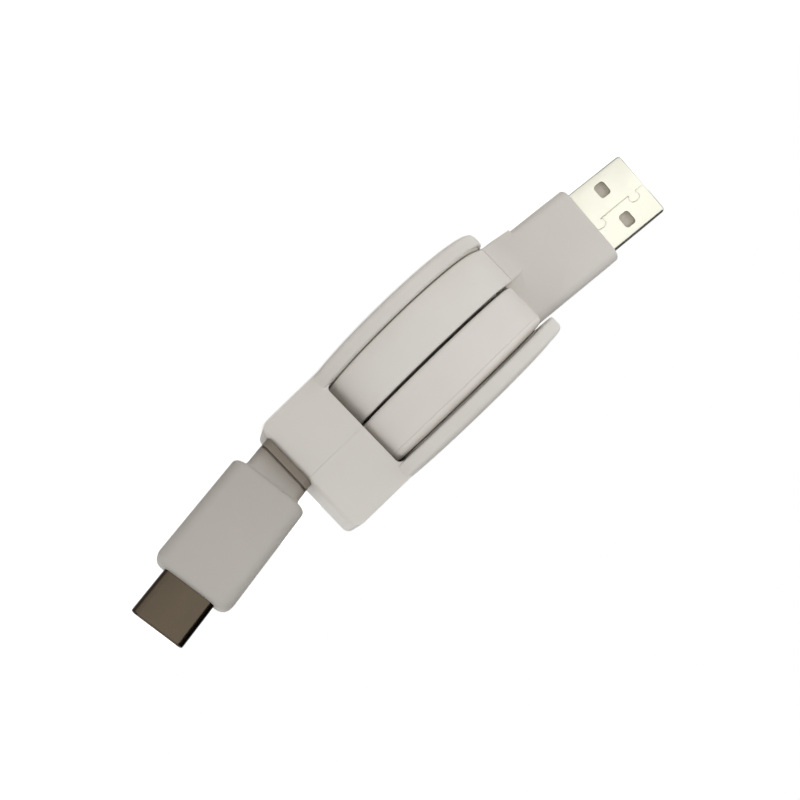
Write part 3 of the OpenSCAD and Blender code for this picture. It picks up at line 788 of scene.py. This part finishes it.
@dataclass(frozen=True)
class FlatCable:
    """The flat cable: wound coil and the two stretches that leave it, in mm."""

    # Section of the jacket
    width: float = 6.8
    thick: float = 0.9
    # Winding: both strands run out from a fold at the hub
    low_z: float = 2.95
    inner_r: float = 5.6
    pitch: float = 2.21
    turns: int = 5
    fold_steps: int = 8
    step_deg: float = 5.0
    spare_deg: float = 155.0
    lead_deg: float = 172.0
    # Run to the USB-A plug, and two steps before its end
    lead_lower: float = 0.22
    entry_a: tuple[float, float] = (-19.8, -2.75)
    run_a_steps: int = 70
    blend_a_steps: tuple[int, int] = (68, 26)
    # Run through the mouth block to the USB-C plug
    entry_c: tuple[float, float] = (21.2, 0.4)
    turn_c_x: float = 23.4
    turn_c_y: float = -1.5
    exit_c: tuple[float, float] = (27.4, -1.6)
    end_c: tuple[float, float] = (29.9, -2.3)
    reach_c: float = 1.6
    step_c: float = 0.1
    blend_c_x: tuple[float, float] = (23.2, 27.3)
    blend_c_y: float = -0.8

    @property
    def mid_z(self) -> float:
        """Middle height of the strip."""
        return self.low_z + self.width / 2

    @property
    def full_deg(self) -> float:
        """Degrees of winding from the hub to where a strand leaves the coil."""
        return 360 * self.turns

    @property
    def outer_r(self) -> float:
        """Radius of the middle line where a strand leaves the coil."""
        return self.radius(self.full_deg)

    def radius(self, turn_deg: float) -> float:
        """Radius of a strand's middle line after some degrees of winding."""
        return self.inner_r + self.pitch * turn_deg / 360

    def leave_deg(self, entry: tuple[float, float]) -> float:
        """Find where the strip leaves the coil on its way to an entry point.

        Args:
            entry: the point in plan that the strip runs to.

        Returns:
            The angle of the place round the axis, in degrees.
        """
        far = math.hypot(*entry)
        return math.degrees(math.atan2(entry[1], entry[0]) + math.acos(self.outer_r / far))

    def turn_points(self, end_deg: float, first: float, last: float) -> list[tuple[float, float]]:
        """Follow a strand's winding.

        Args:
            end_deg: angle at which the strand leaves the coil.
            first: degrees of winding at the first point.
            last: degrees of winding at the last point.

        Returns:
            The points in plan.
        """
        count = max(2, round(abs(last - first) / self.step_deg))
        points = []
        for i in range(count + 1):
            turned = first + (last - first) * i / count
            angle = math.radians(end_deg + self.full_deg - turned)
            radius = self.radius(turned)
            points.append((radius * math.cos(angle), radius * math.sin(angle)))
        return points

    def strip(self, name: str, route: Iterable[tuple[float, float]], grow: float = 0.0,
              lower: float = 0.0) -> bpy.types.Object:
        """Sweep the cable's flat section along a route in plan.

        Args:
            name: the piece's name.
            route: points in plan.
            grow: what the section is larger by all round.
            lower: what its low edge lies lower by.

        Returns:
            The strip.
        """
        return swept(name, [(x, y, self.mid_z - lower / 2) for x, y in route],
                     self.thick / 2 + grow, (self.width + lower - self.thick) / 2)

    def coil(self) -> None:
        """Wind both strands from the fold at the hub, and leave room to turn under the leads."""
        end = self.leave_deg(self.entry_a)
        last = self.full_deg - 180 - self.spare_deg
        one = self.turn_points(end, last, 0)
        fold_mid = math.radians(end + self.full_deg)
        inner, outer = self.radius(-180), self.radius(0)
        middle, half = (inner + outer) / 2, (outer - inner) / 2
        fold = []
        for k in range(1, self.fold_steps):
            turn = math.pi * k / self.fold_steps
            radius, along_arc = middle + half * math.cos(turn), half * math.sin(turn)
            fold.append((radius * math.cos(fold_mid) - along_arc * math.sin(fold_mid),
                         radius * math.sin(fold_mid) + along_arc * math.cos(fold_mid)))
        two = self.turn_points(end + 180, -180, last)
        piece = self.strip("wound_cable", one + fold + two)
        finish(piece, CABLE_TPE, Body.SPOOL, ["cable_coil"])

    def last_turn(self, entry: tuple[float, float]) -> list[tuple[float, float]]:
        """Points of a lead's stretch on the coil, up to where it leaves for its entry point."""
        return self.turn_points(self.leave_deg(entry), self.full_deg - self.lead_deg, self.full_deg)

    def run_a(self) -> list[tuple[float, float]]:
        """Route of the strand to the USB-A plug: its last half turn and a straight run."""
        wound = self.last_turn(self.entry_a)
        return wound + spaced(wound[-1], self.entry_a, self.run_a_steps)[1:]

    def lead_a(self) -> None:
        """Stretch to the USB-A plug."""
        route = self.run_a()
        piece = self.strip("cable_to_usb_a", route, lower=self.lead_lower)
        finish(piece, CABLE_TPE, None, ["cable_lead_a"])
        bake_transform(piece)

    def lead_c(self) -> None:
        """Stretch through the block to the USB-C plug."""
        wound = self.last_turn(self.entry_c)
        corners = [wound[-1], self.entry_c, (self.turn_c_x, self.turn_c_y), self.exit_c, self.end_c]
        tail = rounded_route(corners, self.reach_c, self.step_c)
        piece = self.strip("cable_to_usb_c", wound + tail[1:])
        finish(piece, CABLE_TPE, None, ["cable_lead_c"])
        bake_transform(piece)

    def build(self) -> None:
        """Make the whole cable."""
        self.coil()
        self.lead_a()
        self.lead_c()


# Plugs


def quarter(steps: int) -> list[tuple[float, float]]:
    """Follow a quarter round.

    Args:
        steps: number of its steps.

    Returns:
        The sine of each step's angle, and what its cosine falls short of 1.
    """
    angles = [math.pi / 2 * k / steps for k in range(steps + 1)]
    return [(math.sin(angle), 1 - math.cos(angle)) for angle in angles]


def drawn_tube(name: str, half_t: float, half_w: float, radius: float,
               wall: Sequence[tuple[float, float]], segments: int) -> bpy.types.Object:
    """Draw a shell: a tube on X whose wall is one closed profile.

    Args:
        name: the piece's name.
        half_t: half thickness over the outer faces in mm.
        half_w: half width over the outer faces in mm.
        radius: corner radius of the outer face in mm.
        wall: place along X and depth inside the outer face of each point of the wall.
        segments: steps of each rounded corner.

    Returns:
        The tube.
    """
    stations = [(x, half_t - deep, half_w - deep) for x, deep in wall]
    return loft(name, half_t, half_w, radius, stations, closed=True, segments=segments)


@dataclass(frozen=True)
class UsbAPlug:
    """The docked USB-A plug: grip with its cable relief, and drawn shell, in mm.

    Each point of the rim is given by how far it lies behind the tip and inside the
    outer face, and each of the seam's key by how far behind the tip and above the seam.
    """

    # Grip, docked in a round recess
    half_t: float = 3.6
    half_w: float = 7.3
    section_r: float = 1.7
    section_steps: int = 10
    back_x: float = 13.5
    front_x: float = 36.2
    front_r: float = 0.4
    front_steps: int = 4
    dock_r: float = 17.5
    dock_depth: float = 60.0
    dock_sides: int = 160
    # Stance on the reel
    lean_deg: float = 4.5
    swing_deg: float = 8.0
    pivot_x: float = -18.5
    mid_z: float = 10.25
    # Shell, and its bore in the grip
    shell_half_t: float = 2.25
    shell_half_w: float = 6.0
    shell_r: float = 0.6
    shell_steps: int = 6
    shell_in: float = 7.0
    shell_out: float = 12.2
    sheet: float = 0.3
    rim: tuple[tuple[float, float], ...] = (
        (0.55, 0.0), (0.3, 0.03), (0.12, 0.1), (0.03, 0.19), (0.0, 0.26), (0.03, 0.34),
        (0.14, 0.39), (0.6, 0.3))
    bore_gap: float = 0.01
    mould_in: float = 3.5
    # Latch windows
    window_back: float = 6.5
    window_l: float = 2.2
    window_w: float = 2.5
    window_z: float = 3.2
    window_r: float = 0.6
    window_steps: int = 6
    window_deep: float = 4.0
    # Keyed seam
    seam_z: float = 0.35
    seam_r: float = 0.075
    seam_cuts: int = 5
    seam_straight: float = 1.2
    seam_before: float = 0.3
    seam_after: float = 0.6
    key: tuple[tuple[float, float], ...] = (
        (1.85, 0.0), (2.02, 0.28), (1.9, 0.85), (2.25, 1.3), (2.95, 1.45),
        (3.65, 1.3), (4.0, 0.85), (3.88, 0.28), (4.05, 0.0))
    key_pitch: float = 7.8
    # Relief over the cable, its filling, and the trim of its low edge
    face_x: tuple[float, float] = (20.0, 30.0)
    slot_gap: float = 0.02
    relief_over: float = 0.04
    relief_mouth: float = 1.2
    relief_fillet: float = 5.0
    relief_steps: int = 20
    relief_sink: float = 0.02
    tail_l: float = 2.0
    tail_sink: float = 0.3
    filling_in: float = 2.0
    filling_valley: float = 2.6
    filling_under: float = 0.6
    filling_short: float = 0.15
    trim_x: float = 27.5
    trim_deg: float = 3.0
    trim_half_l: float = 12.0
    trim_reach: float = 20.0

    @property
    def place(self) -> Matrix:
        """Find the place of the plug's own frame.

        Returns:
            The frame, X to the plug's tip and Y to the front.
        """
        return (Matrix.Translation((self.pivot_x, 0, self.mid_z))
                @ Matrix.Rotation(math.radians(self.swing_deg), 4, "Z")
                @ Matrix.Rotation(math.radians(self.lean_deg), 4, "Y")
                @ Matrix.Translation((-self.pivot_x, 0, 0))
                @ Matrix.Rotation(math.pi, 4, "Z"))

    def relief_plan(self, cable: FlatCable) -> tuple[list[Vector], list[Vector]]:
        """Lay out in plan how the cable's outer face bends into the grip's front face.

        Args:
            cable: the cable that runs into the grip.

        Returns:
            The middle line of the bent band, and the outline of the filling behind it.
        """
        angle = math.radians(cable.leave_deg(cable.entry_a))
        out = Vector((math.cos(angle), math.sin(angle)))
        run = Vector((out.y, -out.x))
        skin = cable.thick / 2 + self.relief_over
        over = out * (cable.outer_r + skin)
        back, front = ((self.place @ Vector((x, self.half_t, 0))).to_2d() for x in self.face_x)
        face_run = (front - back).normalized()
        inward = Vector((face_run.y, -face_run.x))
        if inward.dot(out) > 0:
            inward = -inward
        # The valley is where the line over the cable meets the grip's face
        gap = over - back
        crossing = run.x * face_run.y - run.y * face_run.x
        valley = over + run * ((face_run.x * gap.y - face_run.y * gap.x) / crossing)
        arm = self.relief_fillet * math.tan(run.angle(face_run) / 2)
        first, last = valley - run * arm, valley + face_run * arm
        band = [first - run * self.relief_mouth - out * skin, first - out * skin]
        for i in range(1, self.relief_steps):
            share = i / self.relief_steps
            normal = (-out * (1 - share) + inward * share).normalized()
            band.append(bend(first, valley, last, share) + normal * skin)
        band.append(last + inward * (skin + self.relief_sink))
        band.append(last + face_run * self.tail_l + inward * (skin + self.tail_sink))
        filling = [*band[1:], last + inward * self.filling_in,
                   valley + inward * self.filling_valley,
                   first - out * (2 * skin + self.filling_under)]
        return band, filling

    def relief(self, cable: FlatCable) -> bpy.types.Object:
        """Bend the cable's own band into the grip's front face and fill it behind.

        Args:
            cable: the cable that runs into the grip.

        Returns:
            The relief, which is still to be united with the grip.
        """
        band, filling = self.relief_plan(cable)
        piece = cable.strip("relief", band, self.relief_over, cable.lead_lower)
        low, high = cable.low_z + self.filling_short, cable.low_z + cable.width - self.filling_short
        combine(piece, prism("filling", filling, low, high), Joining.UNITE)
        # The relief's low edge runs up into the grip's own
        trim = block("trim", (-self.trim_half_l, -self.trim_reach, -self.trim_reach),
                     (self.trim_half_l, self.trim_reach, 0))
        pose(trim, self.place @ Matrix.Translation((self.trim_x, 0, -self.half_w))
             @ Matrix.Rotation(math.radians(-self.trim_deg), 4, "Y"))
        combine(piece, trim)
        return piece

    def grip(self, cable: FlatCable) -> None:
        """Overmoulded grip: rounded bar, concave end, relief over the cable.

        Args:
            cable: the cable that runs into the grip.
        """
        stations = [(self.back_x, self.half_t, self.half_w)]
        for sine, short in quarter(self.front_steps):
            stations.append((self.front_x - self.front_r + self.front_r * sine,
                             self.half_t - self.front_r * short,
                             self.half_w - self.front_r * short))
        piece = loft("usb_a_grip", self.half_t, self.half_w, self.section_r, stations,
                     segments=self.section_steps)
        pose(piece, self.place)
        combine(piece, self.relief(cable), Joining.UNITE)
        bpy.ops.mesh.primitive_cylinder_add(vertices=self.dock_sides, radius=self.dock_r,
                                            depth=self.dock_depth)
        combine(piece, bpy.context.active_object)
        combine(piece, cable.strip("slot", cable.run_a(), self.slot_gap, cable.lead_lower))
        t, w = self.shell_half_t + self.bore_gap, self.shell_half_w + self.bore_gap
        ends = (self.front_x - self.shell_in - self.mould_in, self.front_x + CUT_OVER_MM)
        bore = loft("bore", t, w, self.shell_r, [(x, t, w) for x in ends])
        pose(bore, self.place)
        combine(piece, bore)
        finish(piece, GRIP_TPE, Body.PLUG_A, ["a_grip"])

    def seam_points(self) -> list[tuple[float, float]]:
        """Follow the shell's seam on its front face: two rounded keys on a straight line.

        Returns:
            Place along X and height of each point of the seam.
        """
        second = [(x + self.key_pitch, z) for x, z in self.key]
        points = [(-self.seam_before, 0.0), *self.key, *second,
                  (self.shell_out + self.seam_after, 0.0)]
        tip = self.front_x + self.shell_out
        return [(tip - x, self.seam_z + z) for x, z in points]

    def shell(self) -> None:
        """Drawn shell: rolled rim, latch windows and the keyed seam."""
        tip, root = self.front_x + self.shell_out, self.front_x - self.shell_in
        wall = [(root, 0.0), *((tip - behind, deep) for behind, deep in self.rim),
                (root, self.sheet)]
        piece = drawn_tube("usb_a_shell", self.shell_half_t, self.shell_half_w, self.shell_r, wall,
                           self.shell_steps)
        middle, half_l, half_w = tip - self.window_back, self.window_l / 2, self.window_w / 2
        for z in (-self.window_z, self.window_z):
            window = block("window", (middle - half_l, -self.window_deep, z - half_w),
                           (middle + half_l, self.window_deep, z + half_w))
            round_edges(window, along(1), self.window_r, self.window_steps)
            combine(piece, window)
        seam = smooth_line([(x, self.shell_half_t, z) for x, z in self.seam_points()],
                           self.seam_cuts, self.seam_straight)
        combine(piece, swept("seam", seam, self.seam_r, steps=1))
        pose(piece, self.place)
        finish(piece, BRIGHT_NICKEL, Body.PLUG_A, ["a_shell"])

    def build(self, cable: FlatCable) -> None:
        """Make the plug's outer pieces.

        Args:
            cable: the cable that runs into the grip.
        """
        self.grip(cable)
        self.shell()


@dataclass(frozen=True)
class UsbCPlug:
    """The hanging USB-C plug: grip with its collared neck, and drawn shell, in mm.

    Each point of the rim is given by how far it lies behind the tip and inside the
    outer face.
    """

    # Neck with its collar and groove
    neck_half_t: float = 2.3
    neck_half_w: float = 4.5
    neck_r: float = 1.4
    neck_steps: int = 8
    neck_l: float = 2.7
    neck_back: float = 3.4
    collar_l: float = 1.25
    groove_w: float = 0.35
    groove_d: float = 0.4
    ring_low_yz: tuple[float, float] = (-20.0, -20.0)
    ring_high_yz: tuple[float, float] = (20.0, 40.0)
    core_half_l: float = 9.0
    # Grip, with a fillet and a round shoulder at the neck
    half_t: float = 3.1
    half_w: float = 6.15
    grip_l: float = 17.5
    front_r: float = 1.4
    front_steps: int = 6
    front_thin: float = 0.8
    front_from: float = 6.0
    fillet_l: float = 0.85
    fillet_share: float = 0.45
    shoulder_l: float = 0.7
    shoulder_steps: int = 4
    # Shell, and its bore in the grip
    shell_half_t: float = 1.2
    shell_half_w: float = 4.125
    shell_steps: int = 14
    shell_in: float = 5.0
    shell_out: float = 6.65
    sheet: float = 0.25
    rim: tuple[tuple[float, float], ...] = (
        (0.3, 0.0), (0.12, 0.03), (0.03, 0.08), (0.0, 0.14), (0.03, 0.2), (0.12, 0.25))
    bore_gap: float = 0.01
    bore_steps: int = 12
    mould_l: float = 8.2
    # Stance at the mouth block, whose end face cuts the neck square
    root: tuple[float, float, float] = (29.1, -2.2, 6.85)
    lean_deg: float = 9.0
    swing_deg: float = 6.0
    block_x: float = 27.2
    block_gap: float = 0.12
    side_low_yz: tuple[float, float] = (-30.0, -30.0)
    side_high_yz: tuple[float, float] = (30.0, 50.0)
    # Slot for the cable
    slot_low: tuple[float, float, float] = (-6.0, -0.9, -4.2)
    slot_high: tuple[float, float, float] = (1.9, 1.25, 3.2)

    @property
    def place(self) -> Matrix:
        """Find the place of the plug's own frame.

        Returns:
            The frame, X to the plug's tip and Y to the back.
        """
        return (Matrix.Translation(self.root)
                @ Matrix.Rotation(math.radians(-self.swing_deg), 4, "Z")
                @ Matrix.Rotation(math.radians(-self.lean_deg), 4, "Y"))

    def grown(self, x: float, rise: float) -> tuple[float, float, float]:
        """Section at a place along X, a share of the way from the neck's size to the grip's."""
        return (x, self.neck_half_t + (self.half_t - self.neck_half_t) * rise,
                self.neck_half_w + (self.half_w - self.neck_half_w) * rise)

    def grip_stations(self) -> list[tuple[float, float, float]]:
        """Follow the grip's sections from its neck to its front.

        Returns:
            Place along X, half thickness and half width of each section.
        """
        rows = [self.grown(-self.neck_back, 0.0)]
        # A concave fillet leaves the neck and runs on into the round shoulder
        share = self.fillet_share
        for sine, short in quarter(self.shoulder_steps):
            rows.append(self.grown(self.neck_l - self.fillet_l * (1 - sine), share * short))
        for sine, short in quarter(self.shoulder_steps)[1:]:
            rows.append(self.grown(self.neck_l + self.shoulder_l * short,
                                   share + (1 - share) * sine))
        front, r = self.neck_l + self.grip_l, self.front_r
        rows.append((front - self.front_from, self.half_t, self.half_w))
        for sine, short in quarter(self.front_steps):
            rows.append((front - r + r * sine, self.half_t - r * short * self.front_thin,
                         self.half_w - r * short))
        return rows

    def grip(self) -> None:
        """Overmoulded grip with collar, groove, neck and soft shoulders."""
        piece = loft("usb_c_grip", self.neck_half_t, self.neck_half_w, self.neck_r,
                     self.grip_stations(), segments=self.neck_steps)
        front = self.neck_l + self.grip_l
        t, w = self.shell_half_t + self.bore_gap, self.shell_half_w + self.bore_gap
        ends = (front - self.shell_in - self.mould_l, front + CUT_OVER_MM)
        combine(piece, loft("bore", t, w, t - ROUND_SHORT_MM, [(x, t, w) for x in ends],
                            segments=self.bore_steps))
        combine(piece, block("slot", self.slot_low, self.slot_high))
        pose(piece, self.place)
        side = block("block_side", (0, *self.side_low_yz),
                     (self.block_x + self.block_gap, *self.side_high_yz))
        combine(piece, side)
        combine(piece, self.groove())
        finish(piece, GRIP_TPE_GREY, Body.PLUG_C, ["c_grip"])

    def groove(self) -> bpy.types.Object:
        """Groove round the neck, parallel to the block, that sets off its end collar.

        Returns:
            The ring that cuts the groove.
        """
        low = self.block_x + self.collar_l
        ring = block("groove", (low, *self.ring_low_yz),
                     (low + self.groove_w, *self.ring_high_yz))
        t, w = self.neck_half_t - self.groove_d, self.neck_half_w - self.groove_d
        core = loft("core", t, w, self.neck_r - self.groove_d,
                    [(-self.core_half_l, t, w), (self.core_half_l, t, w)],
                    segments=self.neck_steps)
        pose(core, self.place)
        combine(ring, core)
        return ring

    def shell(self) -> None:
        """Drawn shell: fully round sides and a rolled rim."""
        front = self.neck_l + self.grip_l
        tip, root = front + self.shell_out, front - self.shell_in
        wall = [(root, 0.0), *((tip - behind, deep) for behind, deep in self.rim),
                (root, self.sheet)]
        piece = drawn_tube("usb_c_shell", self.shell_half_t, self.shell_half_w,
                           self.shell_half_t - ROUND_SHORT_MM, wall, self.shell_steps)
        pose(piece, self.place)
        finish(piece, DARK_NICKEL, Body.PLUG_C, ["c_shell"])

    def build(self) -> None:
        """Make the plug's outer pieces."""
        self.grip()
        self.shell()


# Studio


@dataclass(frozen=True)
class Studio:
    """Floor, soft light and the camera of the photograph, in metres where not named."""

    # Camera, fitted to the photograph
    focal_px: float = 880.7
    picture_px: float = 800.0
    sensor_mm: float = 36.0
    clip_near: float = 0.002
    clip_far: float = 20.0
    camera_mm: tuple[float, float, float] = (51.86, -127.44, 14.83)
    right: tuple[float, float, float] = (-0.68606, -0.21708, 0.69440)
    down: tuple[float, float, float] = (0.64964, 0.24691, 0.71903)
    ahead: tuple[float, float, float] = (-0.32754, 0.94441, -0.02837)
    # Floor, and how much of its white a glossy surface mirrors
    floor_size: float = 6.0
    floor_colour: str = "#f4f4f4"
    floor_glow: float = 0.72
    glossy_glow: float = 0.5
    # Even light and the unseen dark ceiling
    light_colour: str = "#ffffff"
    ambient: float = 0.88
    ceiling_height: float = 0.25
    ceiling_size: float = 0.5
    ceiling_colour: str = "#505050"
    # Soft lamps
    key_place: tuple[float, float, float] = (-0.36, -0.3, 0.04)
    key_size: float = 0.54
    key_watt: float = 0.92
    fill_place: tuple[float, float, float] = (0.42, -0.3, 0.05)
    fill_size: float = 0.3
    fill_watt: float = 0.5

    def camera(self) -> None:
        """Set the camera where the photograph was taken from."""
        data = bpy.data.cameras.new("photo_camera")
        data.sensor_width = self.sensor_mm
        data.lens = self.focal_px / self.picture_px * self.sensor_mm
        data.clip_start = self.clip_near
        data.clip_end = self.clip_far
        camera = bpy.data.objects.new("photo_camera", data)
        axes = [Vector(self.right), -Vector(self.down), -Vector(self.ahead)]
        turn = Matrix([[a[i] for a in axes] for i in range(3)]).to_quaternion().to_matrix()
        camera.matrix_world = Matrix.Translation(Vector(self.camera_mm) * MM) @ turn.to_4x4()
        bpy.context.scene.collection.objects.link(camera)
        bpy.context.scene.camera = camera

    def sheet(self, name: str, size: float, height: float, paint: str) -> bpy.types.Object:
        """Lay a level square sheet over the origin, its material still without nodes.

        Args:
            name: the sheet's name.
            size: its side in metres.
            height: its height in metres.
            paint: its material's name.

        Returns:
            The sheet.
        """
        bpy.ops.object.select_all(action="DESELECT")
        bpy.ops.mesh.primitive_plane_add(size=size, location=(0, 0, height))
        sheet = bpy.context.active_object
        sheet.name = name
        material = bpy.data.materials.new(paint)
        material.use_nodes = True
        material.node_tree.nodes.clear()
        sheet.data.materials.append(material)
        return sheet

    def floor(self) -> None:
        """Lay a plain pale floor that shows white and keeps the object's shadow."""
        floor = self.sheet("floor", self.floor_size, 0, "pale_paper_floor")
        tree = floor.data.materials[0].node_tree
        ray = add_node(tree, "ShaderNodeLightPath")
        paper = add_node(tree, "ShaderNodeBsdfDiffuse", {"Color": linear(self.floor_colour)})
        glow = add_node(tree, "ShaderNodeEmission",
                        {"Color": linear(self.light_colour), "Strength": self.floor_glow})
        both = add_node(tree, "ShaderNodeAddShader", None,
                        {0: paper.outputs[0], 1: glow.outputs[0]})
        faint = add_node(tree, "ShaderNodeMath", {"operation": "MULTIPLY", 1: self.glossy_glow},
                         {0: ray.outputs["Is Glossy Ray"]})
        seen = add_node(tree, "ShaderNodeMath", {"operation": "MAXIMUM"},
                        {0: ray.outputs["Is Camera Ray"], 1: faint.outputs[0]})
        mix = add_node(tree, "ShaderNodeMixShader", None,
                       {0: seen.outputs[0], 1: paper.outputs[0], 2: both.outputs[0]})
        add_node(tree, "ShaderNodeOutputMaterial", None, {"Surface": mix.outputs[0]})

    def world(self) -> None:
        """Light the object evenly and show white behind it."""
        world = bpy.data.worlds.new("studio_white")
        world.use_nodes = True
        tree = world.node_tree
        tree.nodes.clear()
        ray = add_node(tree, "ShaderNodeLightPath")
        soft = add_node(tree, "ShaderNodeBackground",
                        {"Color": linear(self.light_colour), "Strength": self.ambient})
        white = add_node(tree, "ShaderNodeBackground",
                         {"Color": linear(self.light_colour), "Strength": 1.0})
        seen = add_node(tree, "ShaderNodeMath", {"operation": "MAXIMUM"},
                        {0: ray.outputs["Is Camera Ray"], 1: ray.outputs["Is Glossy Ray"]})
        through = add_node(tree, "ShaderNodeMath", {"operation": "MAXIMUM"},
                           {0: seen.outputs[0], 1: ray.outputs["Is Transmission Ray"]})
        mix = add_node(tree, "ShaderNodeMixShader", None,
                       {0: through.outputs[0], 1: soft.outputs[0], 2: white.outputs[0]})
        add_node(tree, "ShaderNodeOutputWorld", None, {"Surface": mix.outputs[0]})
        bpy.context.scene.world = world

    def ceiling(self) -> None:
        """Hang a dark ceiling that the camera doesn't see: upper sides turn darker."""
        ceiling = self.sheet("dark_ceiling", self.ceiling_size, self.ceiling_height,
                             "dark_ceiling_paint")
        tree = ceiling.data.materials[0].node_tree
        paint = add_node(tree, "ShaderNodeBsdfDiffuse", {"Color": linear(self.ceiling_colour)})
        add_node(tree, "ShaderNodeOutputMaterial", None, {"Surface": paint.outputs[0]})
        ceiling.visible_camera = False

    def lamp(self, name: str, place: Sequence[float], size: float, watt: float) -> None:
        """Add a soft square lamp that faces the reel.

        Args:
            name: the lamp's name.
            place: its place in metres.
            size: its side in metres.
            watt: its power.
        """
        data = bpy.data.lights.new(name, "AREA")
        data.size = size
        data.energy = watt
        lamp = bpy.data.objects.new(name, data)
        lamp.location = place
        lamp.rotation_euler = (-Vector(place)).to_track_quat("-Z", "Y").to_euler()
        # Shells mirror the white surroundings, and not the lamp on top of them
        lamp.visible_glossy = False
        bpy.context.scene.collection.objects.link(lamp)

    def build(self) -> None:
        """Make the whole studio."""
        bpy.context.scene.view_settings.view_transform = "Standard"
        self.camera()
        self.floor()
        self.world()
        self.lamp("key_softbox", self.key_place, self.key_size, self.key_watt)
        self.lamp("fill_softbox", self.fill_place, self.fill_size, self.fill_watt)
        self.ceiling()


def dress_nodes() -> None:
    """Give every CAD node its finish."""
    for name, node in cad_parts.items():
        coat, slot = NODE_FINISHES[name]
        coat.dress(node)
        LOG.info("node %s: %s", name, coat.name)


def main() -> None:
    """Build the studio and the dressed cable."""
    logging.basicConfig(level=logging.INFO, format="%(name)s: %(message)s")
    Studio().build()
    dress_nodes()
    cable = FlatCable()
    cable.build()
    UsbAPlug().build(cable)
    UsbCPlug().build()


if __name__ == "__main__":
    main()
